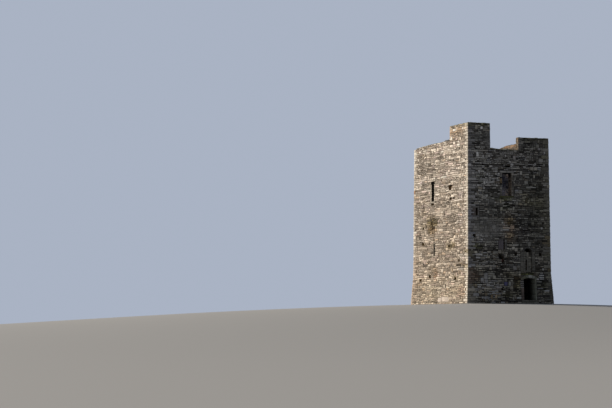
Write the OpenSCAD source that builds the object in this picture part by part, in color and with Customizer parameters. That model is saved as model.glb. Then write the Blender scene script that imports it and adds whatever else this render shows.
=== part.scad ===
// A rectangular rubble-stone tower house of four storeys: battered walls on a spreading foot,
// a low arched doorway near one corner, narrow splayed loops, a stone vault over the first
// storey, timber floors on ledges, a wall walk behind ruined parapets and a raised corner
// turret whose inner walls stand on a corbelled squinch. Millimetres, +Z up, the origin at the centre of the ground plan. The front, with
// the doorway, faces -Y; the left wall faces -X.

/* [Plan] */
// Width of the front along the ground line, before the foot spreads
front_w = 7700; // [7600:10:7900]
// Length of the side walls along the ground line, before the foot spreads
side_l = 11000; // [10900:10:11300]
// Inward lean of every outer face, in mm for each metre of height
batter = 9; // [6:1:11]
// How far the foot of the walls spreads outward at the ground
foot_spread = 150; // [80:10:220]

/* [Doorway] */
// Left side of the doorway, from the tower's centre line
door_x0 = 1240; // [1200:10:1280]
// Right side of the doorway, from the tower's centre line
door_x1 = 2360; // [2320:10:2400]
// Height of the doorway's threshold
door_sill = 300; // [250:10:330]
// Height at which the doorway's arch springs
door_spring = 2020; // [1980:10:2050]
// Rise of the doorway's arch
door_rise = 130; // [100:10:160]

/* [Wall head] */
// Level of the wall walk's bed, which is the top of the fourth storey's walls
walk_z = 11600; // [11560:10:11640]
// Thickness of the parapets
parapet_t = 430; // [400:10:450]
// Top of the low middle part of the front parapet
low_z = 12850; // [12700:10:13000]
// Top of the side parapets
side_z = 13740; // [13600:10:13840]
// Top of the raised right end of the front parapet
block_z = 13860; // [13750:10:14000]
// Top of the corner turret's walls
turret_z = 14950; // [14800:10:15100]

/* [Hidden] */

// Levels where one storey's walls end and the next, thinner, begin
z1 = 2500;
z2 = 6000;
z3 = 8300;
// Half width and half length of the rooms, storey by storey from the ground
ix = [2500, 2600, 2640, 2740];
iy = [4120, 4220, 4260, 4360];
far = 8000;
e = 60; // how far a cutting body runs past the face it cuts

// Doorway stones: the jambs' outer edges, the rebate and the head of the passage behind it
jamb_x0 = door_x0 - 250;
jamb_x1 = door_x1 + 250;
rebate_y = -5000;
passage_x0 = door_x0 - 120;
passage_head = 2290;

// Blocked window over the doorway
bw_c = 1710;
bw_half = 380;
bw_sill = 2640;
bw_spring = 4330;
bw_top = 4610;
bw_r = (pow(bw_half, 2) + pow(bw_top - bw_spring, 2)) / (2 * (bw_top - bw_spring));
bw_in = -4900;

// Upper windows and loops: outer width, width inside the wall, foot and head
win_c = -190;
win_half = 440;
win_z0 = 8930;
win_z1 = 10850;
loop_c = 1445;
loop_half = 250;
loop_z0 = 8800;
loop_z1 = 10500;
slit_c = 1110;
slit_half = 60;
side_slit_half = 90;
slit_z0 = 4120;
slit_z1 = 5150;
slot_c = 500;

// Vault: a circular barrel of this radius, with its axis at vault_c
vault_r = 2885;
vault_c = 2715;
vault_spring = 4000;
vault_top = 5860;

// Turret plan: its right side and its back, and the thinner inner walls
tur_x = -1710;
tur_y = -1880;
block_x = 920;
tur_in = 380;

dark = [0.27, 0.27, 0.26];
grey = [0.42, 0.41, 0.38];
warm = [0.66, 0.60, 0.52];
pale = [0.78, 0.72, 0.64];
oak = [0.36, 0.30, 0.24];
flag = [0.38, 0.38, 0.35];

// Half width and half length of the outer faces at a height
function hx(z) = front_w / 2 - batter * z / 1000 + foot_spread * max(0, 1 - z / z1);
function hy(z) = side_l / 2 - batter * z / 1000 + foot_spread * max(0, 1 - z / z1);

// The outer form between two heights that lie on one slope
module band(a, b) {
    intersection() {
        rotate([90, 0, 0]) linear_extrude(height = 2 * far, center = true)
            polygon([[-hx(a), a], [hx(a), a], [hx(b), b], [-hx(b), b]]);
        rotate([90, 0, 90]) linear_extrude(height = 2 * far, center = true)
            polygon([[-hy(a), a], [hy(a), a], [hy(b), b], [-hy(b), b]]);
    }
}

// A box from its lowest to its highest corner
module span(p, q) {
    translate(p) cube([q[0] - p[0], q[1] - p[1], q[2] - p[2]]);
}

// One side of one storey: the front and back walls hold the corners
module wall(side, s, a, b) {
    intersection() {
        band(a, b);
        if (side == "front") span([-far, -far, a], [far, -iy[s], b]);
        if (side == "back") span([-far, iy[s], a], [far, far, b]);
        if (side == "left") span([-far, -iy[s], a], [-ix[s], iy[s], b]);
        if (side == "right") span([ix[s], -iy[s], a], [far, iy[s], b]);
    }
}

// Turns a shape made for the front wall to another side
module turned(side) {
    rotate([0, 0, side == "left" ? -90 : side == "right" ? 90 : side == "back" ? 180 : 0]) children();
}

// A window's hole, made for the front wall: straight for the reveal, then splayed to the room.
// c: centre, h: half width, k: half width at the room, out: outer face, inn: inner face
module splay(c, h, k, a, b, out, reveal, inn) {
    translate([0, 0, a]) linear_extrude(height = b - a)
        polygon([
            [c - h, -out - e], [c + h, -out - e], [c + h, -out + reveal],
            [c + k, -inn], [c + k, -inn + e], [c - k, -inn + e], [c - k, -inn], [c - h, -out + reveal]
        ]);
}

// A block that fills a box in the wall and takes the wall's sloping outer face
module faced(side, p, q) {
    intersection() {
        band(z1, walk_z);
        turned(side) span(p, q);
    }
}

// Scaffold and drain holes, and places where stones have fallen out, each as
// [centre along the wall, height, width, height of the hole, depth]
front_ground_holes = [[-785, 1170, 160, 170, 300]];
front_first_holes = [[560, 4090, 220, 200, 420], [2840, 4110, 230, 210, 420], [-3250, 5580, 240, 220, 380], [-775, 3080, 180, 170, 300]];
front_third_holes = [[-110, 11410, 500, 150, 400], [2830, 11500, 560, 110, 380], [1990, 11530, 420, 80, 300], [-2360, 11480, 260, 100, 300]];
front_right_holes = [[2880, 11660, 640, 80, 250]];
left_third_holes = [[1985, 9660, 430, 210, 380], [2030, 9865, 700, 210, 380], [-1490, 8550, 480, 170, 350], [2120, 8820, 360, 190, 280], [2750, 8825, 300, 120, 250]];
left_second_holes = [[-3370, 6560, 280, 200, 350], [-1600, 6900, 300, 150, 260]];
left_first_holes = [[-3420, 5190, 480, 220, 350], [1850, 4850, 300, 150, 250], [3750, 3600, 320, 170, 260], [3760, 3200, 820, 90, 170]];
left_ground_holes = [[-3880, 2110, 440, 190, 350], [-1950, 2360, 320, 250, 300], [3100, 2090, 340, 200, 300]];

module holes(list, out) {
    for (h = list) span([h[0] - h[2] / 2, -out - e, h[1] - h[3] / 2], [h[0] + h[2] / 2, -out + h[4], h[1] + h[3] / 2]);
}

// ---------------------------------------------------------------- ground storey

module door_zone(x0, x1, a, b) {
    intersection() {
        wall("front", 0, 0, z1);
        span([x0, -far, a], [x1, far, b]);
    }
}

module ground_wall_front_left() {
    color(dark) difference() {
        door_zone(-far, jamb_x0, 0, z1);
        holes(front_ground_holes, hy(1200));
    }
}

module ground_wall_front_right() {
    color(dark) door_zone(jamb_x1, far, 0, z1);
}

module ground_wall_left() {
    color(warm) difference() {
        wall("left", 0, 0, z1);
        turned("left") holes(left_ground_holes, hx(2200));
    }
}

module ground_wall_right() {
    color(grey) wall("right", 0, 0, z1);
}

module ground_wall_back() {
    color(grey) wall("back", 0, 0, z1);
}

module ground_floor() {
    color(flag) span([-ix[0], -iy[0], 0], [ix[0], iy[0], door_sill]);
}

module door_threshold() {
    color(grey) door_zone(jamb_x0, jamb_x1, 0, door_sill);
}

// The passage behind the rebate, up to its flat head
module door_passage() {
    span([passage_x0, rebate_y, door_sill - 0.001], [door_x1, -iy[0] + e, passage_head]);
}

// The doorway's head: two arcs that meet in a blunt point over the middle
module door_head() {
    c = (door_x0 + door_x1) / 2;
    h = (door_x1 - door_x0) / 2;
    k = 150;
    d = (pow(h + k, 2) - k * k - door_rise * door_rise) / (2 * door_rise);
    r = sqrt(pow(h + k, 2) + d * d);
    intersection() {
        translate([c + k, 0, door_spring - d]) rotate([90, 0, 0]) cylinder(r = r, h = 2 * far, center = true, $fn = 96);
        translate([c - k, 0, door_spring - d]) rotate([90, 0, 0]) cylinder(r = r, h = 2 * far, center = true, $fn = 96);
        span([door_x0 - e, -far, door_spring - e], [door_x1 + e, rebate_y + 1, z1]);
    }
}

module door_jamb_left() {
    color(grey) difference() {
        door_zone(jamb_x0, door_x0, door_sill, door_spring);
        door_passage();
    }
}

module door_jamb_right() {
    color(grey) door_zone(door_x1, jamb_x1, door_sill, door_spring);
}

module door_arch_left() {
    color(grey) difference() {
        door_zone(jamb_x0, (door_x0 + door_x1) / 2, door_spring, z1);
        door_passage();
        door_head();
    }
}

module door_arch_right() {
    color(pale) difference() {
        door_zone((door_x0 + door_x1) / 2, jamb_x1, door_spring, z1);
        door_passage();
        door_head();
    }
}

// ---------------------------------------------------------------- first storey

// The blocked window's hole: an arched outer order and a wider square one behind
module blocked_window_hole() {
    span([bw_c - bw_half, -far, bw_sill], [bw_c + bw_half, bw_in, bw_spring]);
    intersection() {
        translate([bw_c, 0, bw_top - bw_r]) rotate([90, 0, 0]) cylinder(r = bw_r, h = 2 * far, center = true, $fn = 96);
        span([bw_c - bw_half, -far, bw_spring - 1], [bw_c + bw_half, bw_in, bw_top + e]);
    }
    span([bw_c - bw_half - 150, bw_in - 1, 2750], [bw_c + bw_half + 150, -iy[1] + e, 4680]);
}

// The ring of stones over it
module arch_ring() {
    intersection() {
        translate([bw_c, 0, bw_top - bw_r]) rotate([90, 0, 0]) cylinder(r = bw_r + 170, h = 2 * far, center = true, $fn = 96);
        span([bw_c - far, -far, bw_spring], [bw_c + far, -hy(bw_top) + 400, z2]);
    }
}

// The narrow slot left of it, and the ragged hole below that slot
module broken_slot() {
    splay(-slot_c, slit_half, 330, 4480, 5310, hy(5000), 300, iy[1]);
}

module ragged_hole() {
    translate([0, -hy(3700) + 340, 0]) rotate([90, 0, 0]) linear_extrude(height = 700)
        polygon([[-1040, 4150], [-910, 4100], [-770, 3990], [-610, 3870], [-530, 3710], [-540, 3420],
                 [-640, 3280], [-740, 3460], [-880, 3640], [-980, 3900]]);
}

module first_wall_front() {
    color(dark) difference() {
        wall("front", 1, z1, z2);
        blocked_window_hole();
        arch_ring();
        broken_slot();
        ragged_hole();
        holes(front_first_holes, hy(4200));
    }
}

module blocked_window_arch() {
    color(grey) difference() {
        intersection() {
            wall("front", 1, z1, z2);
            arch_ring();
        }
        blocked_window_hole();
    }
}

// Thinner masonry that closes the window, but for a slit and a gap under the arch
module blocked_window_infill() {
    color(grey) difference() {
        span([bw_c - bw_half, -hy(3500) + 170, bw_sill], [bw_c + bw_half, bw_in, 4290]);
        span([1570, -far, 2760], [1670, far, 3640]);
    }
}

module left_slit() {
    turned("left") splay(-slit_c, side_slit_half, 380, slit_z0, slit_z1, hx(4800), 320, ix[1]);
}

module right_slit() {
    turned("right") splay(-slit_c, side_slit_half, 380, slit_z0, slit_z1, hx(4800), 320, ix[1]);
}

module back_slot() {
    turned("back") splay(-slot_c, slit_half, 330, 4480, 5310, hy(5000), 300, iy[1]);
}

module first_wall_left() {
    color(warm) difference() {
        wall("left", 1, z1, z2);
        left_slit();
        turned("left") holes(left_first_holes, hx(5100));
    }
}

module first_wall_right() {
    color(grey) difference() {
        wall("right", 1, z1, z2);
        right_slit();
    }
}

module first_wall_back() {
    color(grey) difference() {
        wall("back", 1, z1, z2);
        back_slot();
    }
}

// Floor joists across the rooms, resting on the ledges of the long walls
module beams(s, z) {
    n = 7;
    for (i = [0 : n - 1])
        translate([0, (i - (n - 1) / 2) * 1180, z + 95])
            cube([2 * ix[s] - 20, 190, 190], center = true);
}

module first_floor_beams() {
    color(oak) beams(1, z1);
}

module first_floor_boards() {
    color(oak) span([-ix[1] + 10, -iy[1] + 10, z1 + 190], [ix[1] - 10, iy[1] - 10, z1 + 240]);
}

// ---------------------------------------------------------------- vault and second storey

module vault() {
    color(grey) difference() {
        span([-ix[1], -iy[1], vault_spring], [ix[1], iy[1], vault_top]);
        translate([0, 0, vault_c]) rotate([90, 0, 0]) cylinder(r = vault_r, h = 2 * far, center = true, $fn = 120);
        // notches where the two long walls' slits reach the room
        mirror([0, 1, 0]) span([-ix[1] - e, -slit_c - 380, slit_z0], [-760, -slit_c + 380, slit_z1]);
        span([760, -slit_c - 380, slit_z0], [ix[1] + e, -slit_c + 380, slit_z1]);
    }
}

module second_floor_paving() {
    color(flag) span([-ix[1], -iy[1], vault_top], [ix[1], iy[1], z2]);
}

// The small slot beside the corner, whose hole runs askew to reach the room
module corner_slot() {
    translate([0, 0, 7250]) linear_extrude(height = 650)
        polygon([[-3080, -far], [-2910, -far], [-2910, -5080], [-1900, -iy[2]], [-1900, -iy[2] + e],
                 [-ix[2] + 2, -iy[2] + e], [-ix[2] + 2, -iy[2]], [-3080, -5080]]);
}

module second_wall_front() {
    color(dark) difference() {
        wall("front", 2, z2, z3);
        corner_slot();
    }
}

module second_wall_left() {
    color(warm) difference() {
        wall("left", 2, z2, z3);
        turned("left") holes(left_second_holes, hx(6700));
    }
}

module second_wall_right() {
    color(grey) difference() {
        wall("right", 2, z2, z3);
        turned("right") splay(2200, slit_half + 10, 300, 7250, 7900, hx(7500), 300, ix[2]);
    }
}

module second_wall_back() {
    color(grey) difference() {
        wall("back", 2, z2, z3);
        turned("back") splay(1500, slit_half + 10, 300, 7250, 7900, hy(7500), 300, iy[2]);
    }
}

// ---------------------------------------------------------------- third storey

module third_floor_beams() {
    color(oak) beams(3, z3);
}

module third_floor_boards() {
    color(oak) span([-ix[3] + 10, -iy[3] + 10, z3 + 190], [ix[3] - 10, iy[3] - 10, z3 + 240]);
}

module upper_window(c) {
    splay(c, win_half, win_half + 240, win_z0, win_z1, hy(10000), 600, iy[3]);
}

module upper_loop(c) {
    splay(c, loop_half, 480, loop_z0, loop_z1, hx(9800), 380, ix[3]);
}

// Lintel and sill stones, made for the front wall
module lintel(c, h, z, t, out, d) {
    span([c - h - 210, -out - e, z], [c + h + 210, -out + d, z + t]);
}

module sill(c, h, z, t, out, d) {
    span([c - h - 160, -out - e, z - t], [c + h + 160, -out + d, z]);
}

module window_stones(which, side, w) {
    if (which == "lintel") {
        turned(side) lintel(w[0], w[1], w[3], w[4], w[5], w[6]);
    } else {
        turned(side) sill(w[0], w[1], w[2], 130, w[5], w[6]);
    }
}

// [side, centre, half width, foot, head, lintel height, outer face, depth]
framed = [
    ["front", win_c, win_half, win_z0, win_z1, 190, hy(10000), 560],
    ["back", win_c, win_half, win_z0, win_z1, 190, hy(10000), 560],
    ["left", -loop_c, loop_half + 60, loop_z0, loop_z1, 160, hx(9800), 380],
    ["right", -loop_c, loop_half + 60, loop_z0, loop_z1, 160, hx(9800), 380]
];

module stones(which) {
    for (f = framed)
        intersection() {
            band(z3, walk_z);
            window_stones(which, f[0], [f[1], f[2], f[3], f[4], f[5], f[6], f[7]]);
        }
}

module window_lintels() {
    color(grey) stones("lintel");
}

module window_sills() {
    color(grey) stones("sill");
}

module third_wall_front() {
    color(dark) difference() {
        wall("front", 3, z3, walk_z);
        upper_window(win_c);
        // the upper left of the opening has lost a jamb stone
        span([win_c - win_half - 100, -far, 10250], [win_c, -5000, win_z1]);
        window_stones("lintel", "front", [win_c, win_half, win_z0, win_z1, 190, hy(10000), 560]);
        window_stones("sill", "front", [win_c, win_half, win_z0, win_z1, 190, hy(10000), 560]);
        holes(front_third_holes, hy(11500));
    }
}

module third_wall_back() {
    color(grey) difference() {
        wall("back", 3, z3, walk_z);
        turned("back") upper_window(win_c);
        window_stones("lintel", "back", [win_c, win_half, win_z0, win_z1, 190, hy(10000), 560]);
        window_stones("sill", "back", [win_c, win_half, win_z0, win_z1, 190, hy(10000), 560]);
    }
}

module third_wall_left() {
    color(warm) difference() {
        wall("left", 3, z3, walk_z);
        turned("left") upper_loop(-loop_c);
        // a square-cut widening at the head of the loop
        turned("left") span([-loop_c - 390, -far, 10270], [-loop_c + 390, -hx(9800) + 200, loop_z1]);
        window_stones("lintel", "left", [-loop_c, loop_half + 60, loop_z0, loop_z1, 160, hx(9800), 380]);
        window_stones("sill", "left", [-loop_c, loop_half + 60, loop_z0, loop_z1, 160, hx(9800), 380]);
        turned("left") holes(left_third_holes, hx(9500));
    }
}

module third_wall_right() {
    color(grey) difference() {
        wall("right", 3, z3, walk_z);
        turned("right") upper_loop(-loop_c);
        window_stones("lintel", "right", [-loop_c, loop_half + 60, loop_z0, loop_z1, 160, hx(9800), 380]);
        window_stones("sill", "right", [-loop_c, loop_half + 60, loop_z0, loop_z1, 160, hx(9800), 380]);
    }
}

// ---------------------------------------------------------------- wall head

// The inner faces of the parapets
px = hx(walk_z) - parapet_t;
py = hy(walk_z) - parapet_t;

// Flagstones of the walk, between the parapets and the drop to the room, 10 mm apart at their ends
module wall_walk() {
    t = 80;
    color(flag) {
        span([tur_x + 10, -py + 5, walk_z], [px - 5, -iy[3], walk_z + t]);
        span([-px + 5, iy[3], walk_z], [px - 5, py - 5, walk_z + t]);
        span([-px + 5, tur_y + 10, walk_z], [-ix[3], iy[3] - 10, walk_z + t]);
        span([ix[3], -iy[3] + 10, walk_z], [px - 5, iy[3] - 10, walk_z + t]);
        span([-px + 5, -py + 5, walk_z], [tur_x - tur_in - 5, tur_y - tur_in - 5, walk_z + t]);
    }
}

// A run of parapet: the outer form between two corners of a box
module run(p, q) {
    intersection() {
        band(walk_z, turret_z);
        span(p, q);
    }
}

// The part of a parapet under a ruined top line. The points are [distance along the wall,
// drop from z], and the line runs along Y for a side wall and along X for the front and back
module under(line, z, side) {
    p = concat([for (q = line) [q[0], z - q[1]]], [[line[len(line) - 1][0], walk_z - e], [line[0][0], walk_z - e]]);
    if (side) {
        rotate([90, 0, 90]) linear_extrude(height = 2 * far, center = true) polygon(p);
    } else {
        rotate([90, 0, 0]) linear_extrude(height = 2 * far, center = true) polygon(p);
    }
}

module parapet_front_low() {
    color(dark) intersection() {
        run([tur_x, -far, walk_z], [block_x, -py, low_z + 100]);
        under([[tur_x, -30], [-1200, -20], [-750, 40], [-250, 10], [300, 70], [block_x, 80]], low_z, false);
    }
}

module parapet_front_right() {
    color(dark) difference() {
        run([block_x, -far, walk_z], [far, -py, block_z]);
        holes(front_right_holes, hy(walk_z));
    }
}

module parapet_left() {
    color(warm) intersection() {
        run([-far, tur_y, walk_z], [-px, py, side_z]);
        under([[tur_y, 0], [2600, 10], [3300, 50], [4400, 70], [py, 120]], side_z, true);
    }
}

module parapet_right() {
    color(grey) intersection() {
        run([px, -py, walk_z], [far, py, side_z + 100]);
        under([[-py, 0], [1600, 20], [2200, 110], [2900, 190], [3900, 260], [py, 330]], side_z + 70, true);
    }
}

// The back parapet drops in the middle as the front one does, and its two ends are ruined
module parapet_back() {
    color(grey) intersection() {
        run([-far, py, walk_z], [far, far, side_z]);
        under([[-3800, 300], [-3450, 260], [-3300, 120], [-1250, 110], [-1249, side_z - low_z], [1249, side_z - low_z - 60],
               [1250, 240], [2600, 300], [3800, 340]], side_z, false);
    }
}

module turret_wall_front() {
    color(dark) run([-far, -far, walk_z], [tur_x, -py, turret_z]);
}

module turret_wall_left() {
    color(warm) run([-far, -py, walk_z], [-px, tur_y, turret_z]);
}

module turret_wall_right() {
    color(grey) span([tur_x - tur_in, -py, walk_z], [tur_x, tur_y - tur_in, turret_z - 80]);
}

module turret_wall_back() {
    color(grey) difference() {
        span([-px, tur_y - tur_in, walk_z], [tur_x, tur_y, turret_z - 80]);
        span([-3260, tur_y - tur_in - e, walk_z - 1], [-2660, tur_y + e, 13350]);
    }
}

// Corbelled courses across the corner of the room, which carry the turret's two inner walls:
// the lowest is a triangle and each one over it reaches further out, to a full rectangle
module turret_squinch() {
    n = 4;
    t = 290;
    a = tur_x + ix[3];
    b = tur_y + iy[3];
    color(grey) for (k = [1 : n]) {
        q = (n - k) / (n - 1);
        translate([-ix[3], -iy[3], walk_z - (n - k + 1) * t]) linear_extrude(height = t)
            polygon(k == 1 ? [[0, 0], [a, 0], [0, b]] :
                k == n ? [[0, 0], [a, 0], [a, b], [0, b]] :
                [[0, 0], [a, 0], [a, b * (1 - q)], [a * (1 - q), b], [0, b]]);
    }
}

// A thin dark slab lying on the left parapet against the turret
module coping_slab() {
    color([0.18, 0.18, 0.18]) span([-hx(side_z) - 70, tur_y + 20, side_z], [-px + 20, tur_y + 980, side_z + 110]);
}

ground_wall_front_left();
ground_wall_front_right();
ground_wall_left();
ground_wall_right();
ground_wall_back();
door_threshold();
door_jamb_left();
door_jamb_right();
door_arch_left();
door_arch_right();
ground_floor();
first_wall_front();
first_wall_left();
first_wall_right();
first_wall_back();
blocked_window_arch();
blocked_window_infill();
first_floor_beams();
first_floor_boards();
vault();
second_floor_paving();
second_wall_front();
second_wall_left();
second_wall_right();
second_wall_back();
third_floor_beams();
third_floor_boards();
third_wall_front();
third_wall_left();
third_wall_right();
third_wall_back();
window_lintels();
window_sills();
wall_walk();
parapet_front_low();
parapet_front_right();
parapet_left();
parapet_right();
parapet_back();
turret_wall_front();
turret_wall_left();
turret_wall_right();
turret_wall_back();
turret_squinch();
coping_slab();
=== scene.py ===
import bpy
import bisect
import math
import random
from mathutils import Matrix, Vector, noise


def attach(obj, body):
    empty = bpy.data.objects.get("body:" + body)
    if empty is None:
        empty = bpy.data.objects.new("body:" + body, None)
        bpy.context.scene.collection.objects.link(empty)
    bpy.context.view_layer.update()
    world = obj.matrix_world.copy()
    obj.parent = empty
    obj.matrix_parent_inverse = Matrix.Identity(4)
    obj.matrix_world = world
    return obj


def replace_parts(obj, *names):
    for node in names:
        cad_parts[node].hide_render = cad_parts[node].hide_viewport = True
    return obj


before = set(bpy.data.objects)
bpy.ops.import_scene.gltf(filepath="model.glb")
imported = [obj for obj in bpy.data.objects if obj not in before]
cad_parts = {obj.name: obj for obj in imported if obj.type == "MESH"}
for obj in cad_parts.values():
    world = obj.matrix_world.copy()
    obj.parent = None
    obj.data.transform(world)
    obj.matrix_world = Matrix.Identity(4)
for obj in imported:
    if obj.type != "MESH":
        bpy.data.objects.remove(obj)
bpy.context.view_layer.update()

# ------------------------------------------------------------------ the tower's own measures, in metres
FRONT_W, SIDE_L, BATTER, SPREAD, Z1 = 7.7, 11.0, 0.009, 0.15, 2.5
WALK, PAR_T = 11.6, 0.43
LOW, SIDE, BLOCK, TUR = 12.85, 13.74, 13.86, 14.95
RSIDE = SIDE + 0.07
TX, TY, TIN, BX = -1.71, -1.88, 0.38, 0.92
IX = [2.50, 2.60, 2.64, 2.74]
IY = [4.12, 4.22, 4.26, 4.36]
FLOOR3 = 8.54


def hx(z):
    return FRONT_W / 2 - BATTER * z + SPREAD * max(0.0, 1 - z / Z1)


def hy(z):
    return SIDE_L / 2 - BATTER * z + SPREAD * max(0.0, 1 - z / Z1)


PX, PY = hx(WALK) - PAR_T, hy(WALK) - PAR_T


def line(points, u):
    """The height of a broken line at u."""
    if u <= points[0][0]:
        return points[0][1]
    for (a, za), (b, zb) in zip(points, points[1:]):
        if u <= b:
            return za + (zb - za) * (u - a) / (b - a)
    return points[-1][1]


LOW_LINE = [(TX, LOW + 0.03), (-1.2, LOW + 0.02), (-0.75, LOW - 0.04), (-0.25, LOW - 0.01), (0.3, LOW - 0.07), (BX, LOW - 0.08)]
LEFT_LINE = [(TY, SIDE), (2.6, SIDE - 0.01), (3.3, SIDE - 0.05), (4.4, SIDE - 0.07), (PY, SIDE - 0.12)]
RIGHT_LINE = [(-PY, RSIDE), (1.6, RSIDE - 0.02), (2.2, RSIDE - 0.11), (2.9, RSIDE - 0.19), (3.9, RSIDE - 0.26), (PY, RSIDE - 0.33)]
BACK_LINE = [(-3.8, SIDE - 0.3), (-3.45, SIDE - 0.26), (-3.3, SIDE - 0.12), (-1.25, SIDE - 0.11), (-1.249, LOW), (1.249, LOW + 0.06),
             (1.25, SIDE - 0.24), (2.6, SIDE - 0.3), (3.8, SIDE - 0.34)]


# ------------------------------------------------------------------ planes that stones are laid on
# Each takes u along the wall, z up and n outward, and gives a point. u, z and n are right-handed.
def front(u, z, n):
    return (u, -hy(z) - n, z)


def left(u, z, n):
    return (-hx(z) - n, -u, z)


def right(u, z, n):
    return (hx(z) + n, u, z)


def back(u, z, n):
    return (-u, hy(z) + n, z)


def facing(side, at):
    """A level plane that faces +X, -X, +Y or -Y at a distance from the origin."""
    if side == "+x":
        return lambda u, z, n: (at + n, u, z)
    if side == "-x":
        return lambda u, z, n: (at - n, -u, z)
    if side == "+y":
        return lambda u, z, n: (-u, at + n, z)
    return lambda u, z, n: (u, at - n, z)


# ------------------------------------------------------------------ courses
KEYS = [0, 0.30, 1.29, 1.96, 2.12, 2.50, 2.64, 3.58, 3.69, 4.12, 4.33, 4.48, 5.15, 5.31, 7.12, 7.25, 7.90, 8.05, 8.67, 8.80, 8.93,
        10.27, 10.50, 10.66, 10.85, 11.04, 11.32, 11.45, 11.55, 11.68, 12.85, 13.35, 13.74, 13.86, 14.95]


def courses(keys, height, rng):
    rows = []
    for a, b in zip(keys, keys[1:]):
        n = max(1, round((b - a) / height))
        w = [rng.uniform(0.62, 1.5) for _ in range(n)]
        t = sum(w)
        z = a
        for k in w:
            rows.append((z, z + (b - a) * k / t))
            z += (b - a) * k / t
    return rows


ROWS = courses(KEYS, 0.152, random.Random(41))
ROW_LOW = [r[0] for r in ROWS]


def row_at(z):
    return max(0, bisect.bisect_right(ROW_LOW, z) - 1)


def snap(z):
    """The nearest line between two courses."""
    return min((r[0] for r in ROWS), key=lambda a: abs(a - z))


class Field:
    """Many stones, collected into one mesh."""

    def __init__(self, name):
        self.name, self.v, self.f, self.c = name, [], [], []

    def tris(self):
        return sum(len(f) - 2 for f in self.f)

    def make(self, material, angle=38, node=None):
        me = bpy.data.meshes.new(self.name)
        me.from_pydata(self.v, [], self.f)
        me.update()
        tint = me.attributes.new("tint", "FLOAT_COLOR", "POINT")
        flat = []
        for c in self.c:
            flat.extend((c[0], c[1], c[2], 1.0))
        tint.data.foreach_set("color", flat)
        me.polygons.foreach_set("use_smooth", [True] * len(me.polygons))
        me.set_sharp_from_angle(angle=math.radians(angle))
        me.materials.append(material)
        me.validate()
        ob = bpy.data.objects.new(self.name, me)
        bpy.context.scene.collection.objects.link(ob)
        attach(ob, "root")
        print(self.name, self.tris(), "triangles")
        return ob


def lerp(a, b, t):
    return a + (b - a) * t


def mix(a, b, t):
    return tuple(lerp(p, q, t) for p, q in zip(a, b))


def stone(fld, plane, quad, col, rng, proud=0.022, edge=0.02, warp=None, fine=True):
    """A rough stone on a plane. quad is its corners (u, z): low left, low right, high right, high left."""
    (ax, az), (bx, bz), (cx, cz), (dx, dz) = quad
    wide = ((bx - ax) + (cx - dx)) / 2
    high = ((dz - az) + (cz - bz)) / 2
    if wide < 0.035 or high < 0.028:
        return
    eu, et = min(0.32, edge / wide), min(0.34, edge / high)
    ns = 0 if wide < 0.2 else 1 if wide < 0.48 else 2
    if not fine:
        ns = 0 if wide < 0.4 else 1
    S = [0, eu] + [lerp(eu, 1 - eu, i / (ns + 1) + rng.uniform(-0.08, 0.08)) for i in range(1, ns + 1)] + [1 - eu, 1]
    T = [0, et] + ([0.5 + rng.uniform(-0.06, 0.06)] if high > 0.21 and fine else []) + [1 - et, 1]
    m, k = len(S), len(T)
    p0 = proud * rng.uniform(0.25, 0.9)
    p1 = p0 + rng.uniform(0.008, 0.022)
    tu = max(-0.10, min(0.10, rng.gauss(0, 0.045)))
    tz = max(-0.16, min(0.16, rng.gauss(0, 0.08)))
    base = len(fld.v)
    cut = [rng.uniform(0.2, 1.6) for _ in range(4)]
    # The stone's rim is darker, partly edge wear and partly painted shade at the joints; the skirt that runs down into
    # the joint is painted shade.
    rim = tuple(x * 0.72 for x in col)
    dark = tuple(x * 0.30 for x in col)
    for j, t in enumerate(T):
        for i, s in enumerate(S):
            onu, ont = i in (0, m - 1), j in (0, k - 1)
            ss, tt = s, t
            if onu and ont:
                q = cut[(1 if i else 0) + (2 if j else 0)]
                ss += (1 if i == 0 else -1) * eu * 0.6 * q
                tt += (1 if j == 0 else -1) * et * 0.6 * q
            elif onu:
                ss += (1 if i == 0 else -1) * rng.uniform(0, 0.4) * eu
            elif ont:
                tt += (1 if j == 0 else -1) * rng.uniform(0, 0.5) * et
            u = lerp(lerp(ax, bx, ss), lerp(dx, cx, ss), tt)
            z = lerp(lerp(az, dz, tt), lerp(bz, cz, tt), ss)
            n = p0 if (onu or ont) else p1 + rng.uniform(-0.006, 0.007)
            n += tu * (ss - 0.5) * wide + tz * (tt - 0.5) * high
            if not (onu or ont):
                u += rng.uniform(-0.006, 0.006)
                z += rng.uniform(-0.006, 0.006)
            if warp:
                u, z = warp(u, z)
            fld.v.append(plane(u, z, max(0.003, n)))
            fld.c.append(rim if (onu or ont) else col)
    ring = [(i, 0) for i in range(m - 1)] + [(m - 1, j) for j in range(k - 1)] + \
           [(i, k - 1) for i in range(m - 1, 0, -1)] + [(0, j) for j in range(k - 1, 0, -1)]
    for j in range(k - 1):
        for i in range(m - 1):
            a = base + j * m + i
            fld.f.append((a, a + 1, a + m + 1, a + m))
    low = len(fld.v)
    for i, j in ring:
        s, t = S[i], T[j]
        u = lerp(lerp(ax, bx, s), lerp(dx, cx, s), t)
        z = lerp(lerp(az, dz, t), lerp(bz, cz, t), s)
        if warp:
            u, z = warp(u, z)
        fld.v.append(plane(u, z, -0.03))
        fld.c.append(dark)
    r = len(ring)
    for q in range(r):
        a, b = ring[q], ring[(q + 1) % r]
        fld.f.append((low + q, low + (q + 1) % r, base + b[1] * m + b[0], base + a[1] * m + a[0]))


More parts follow.
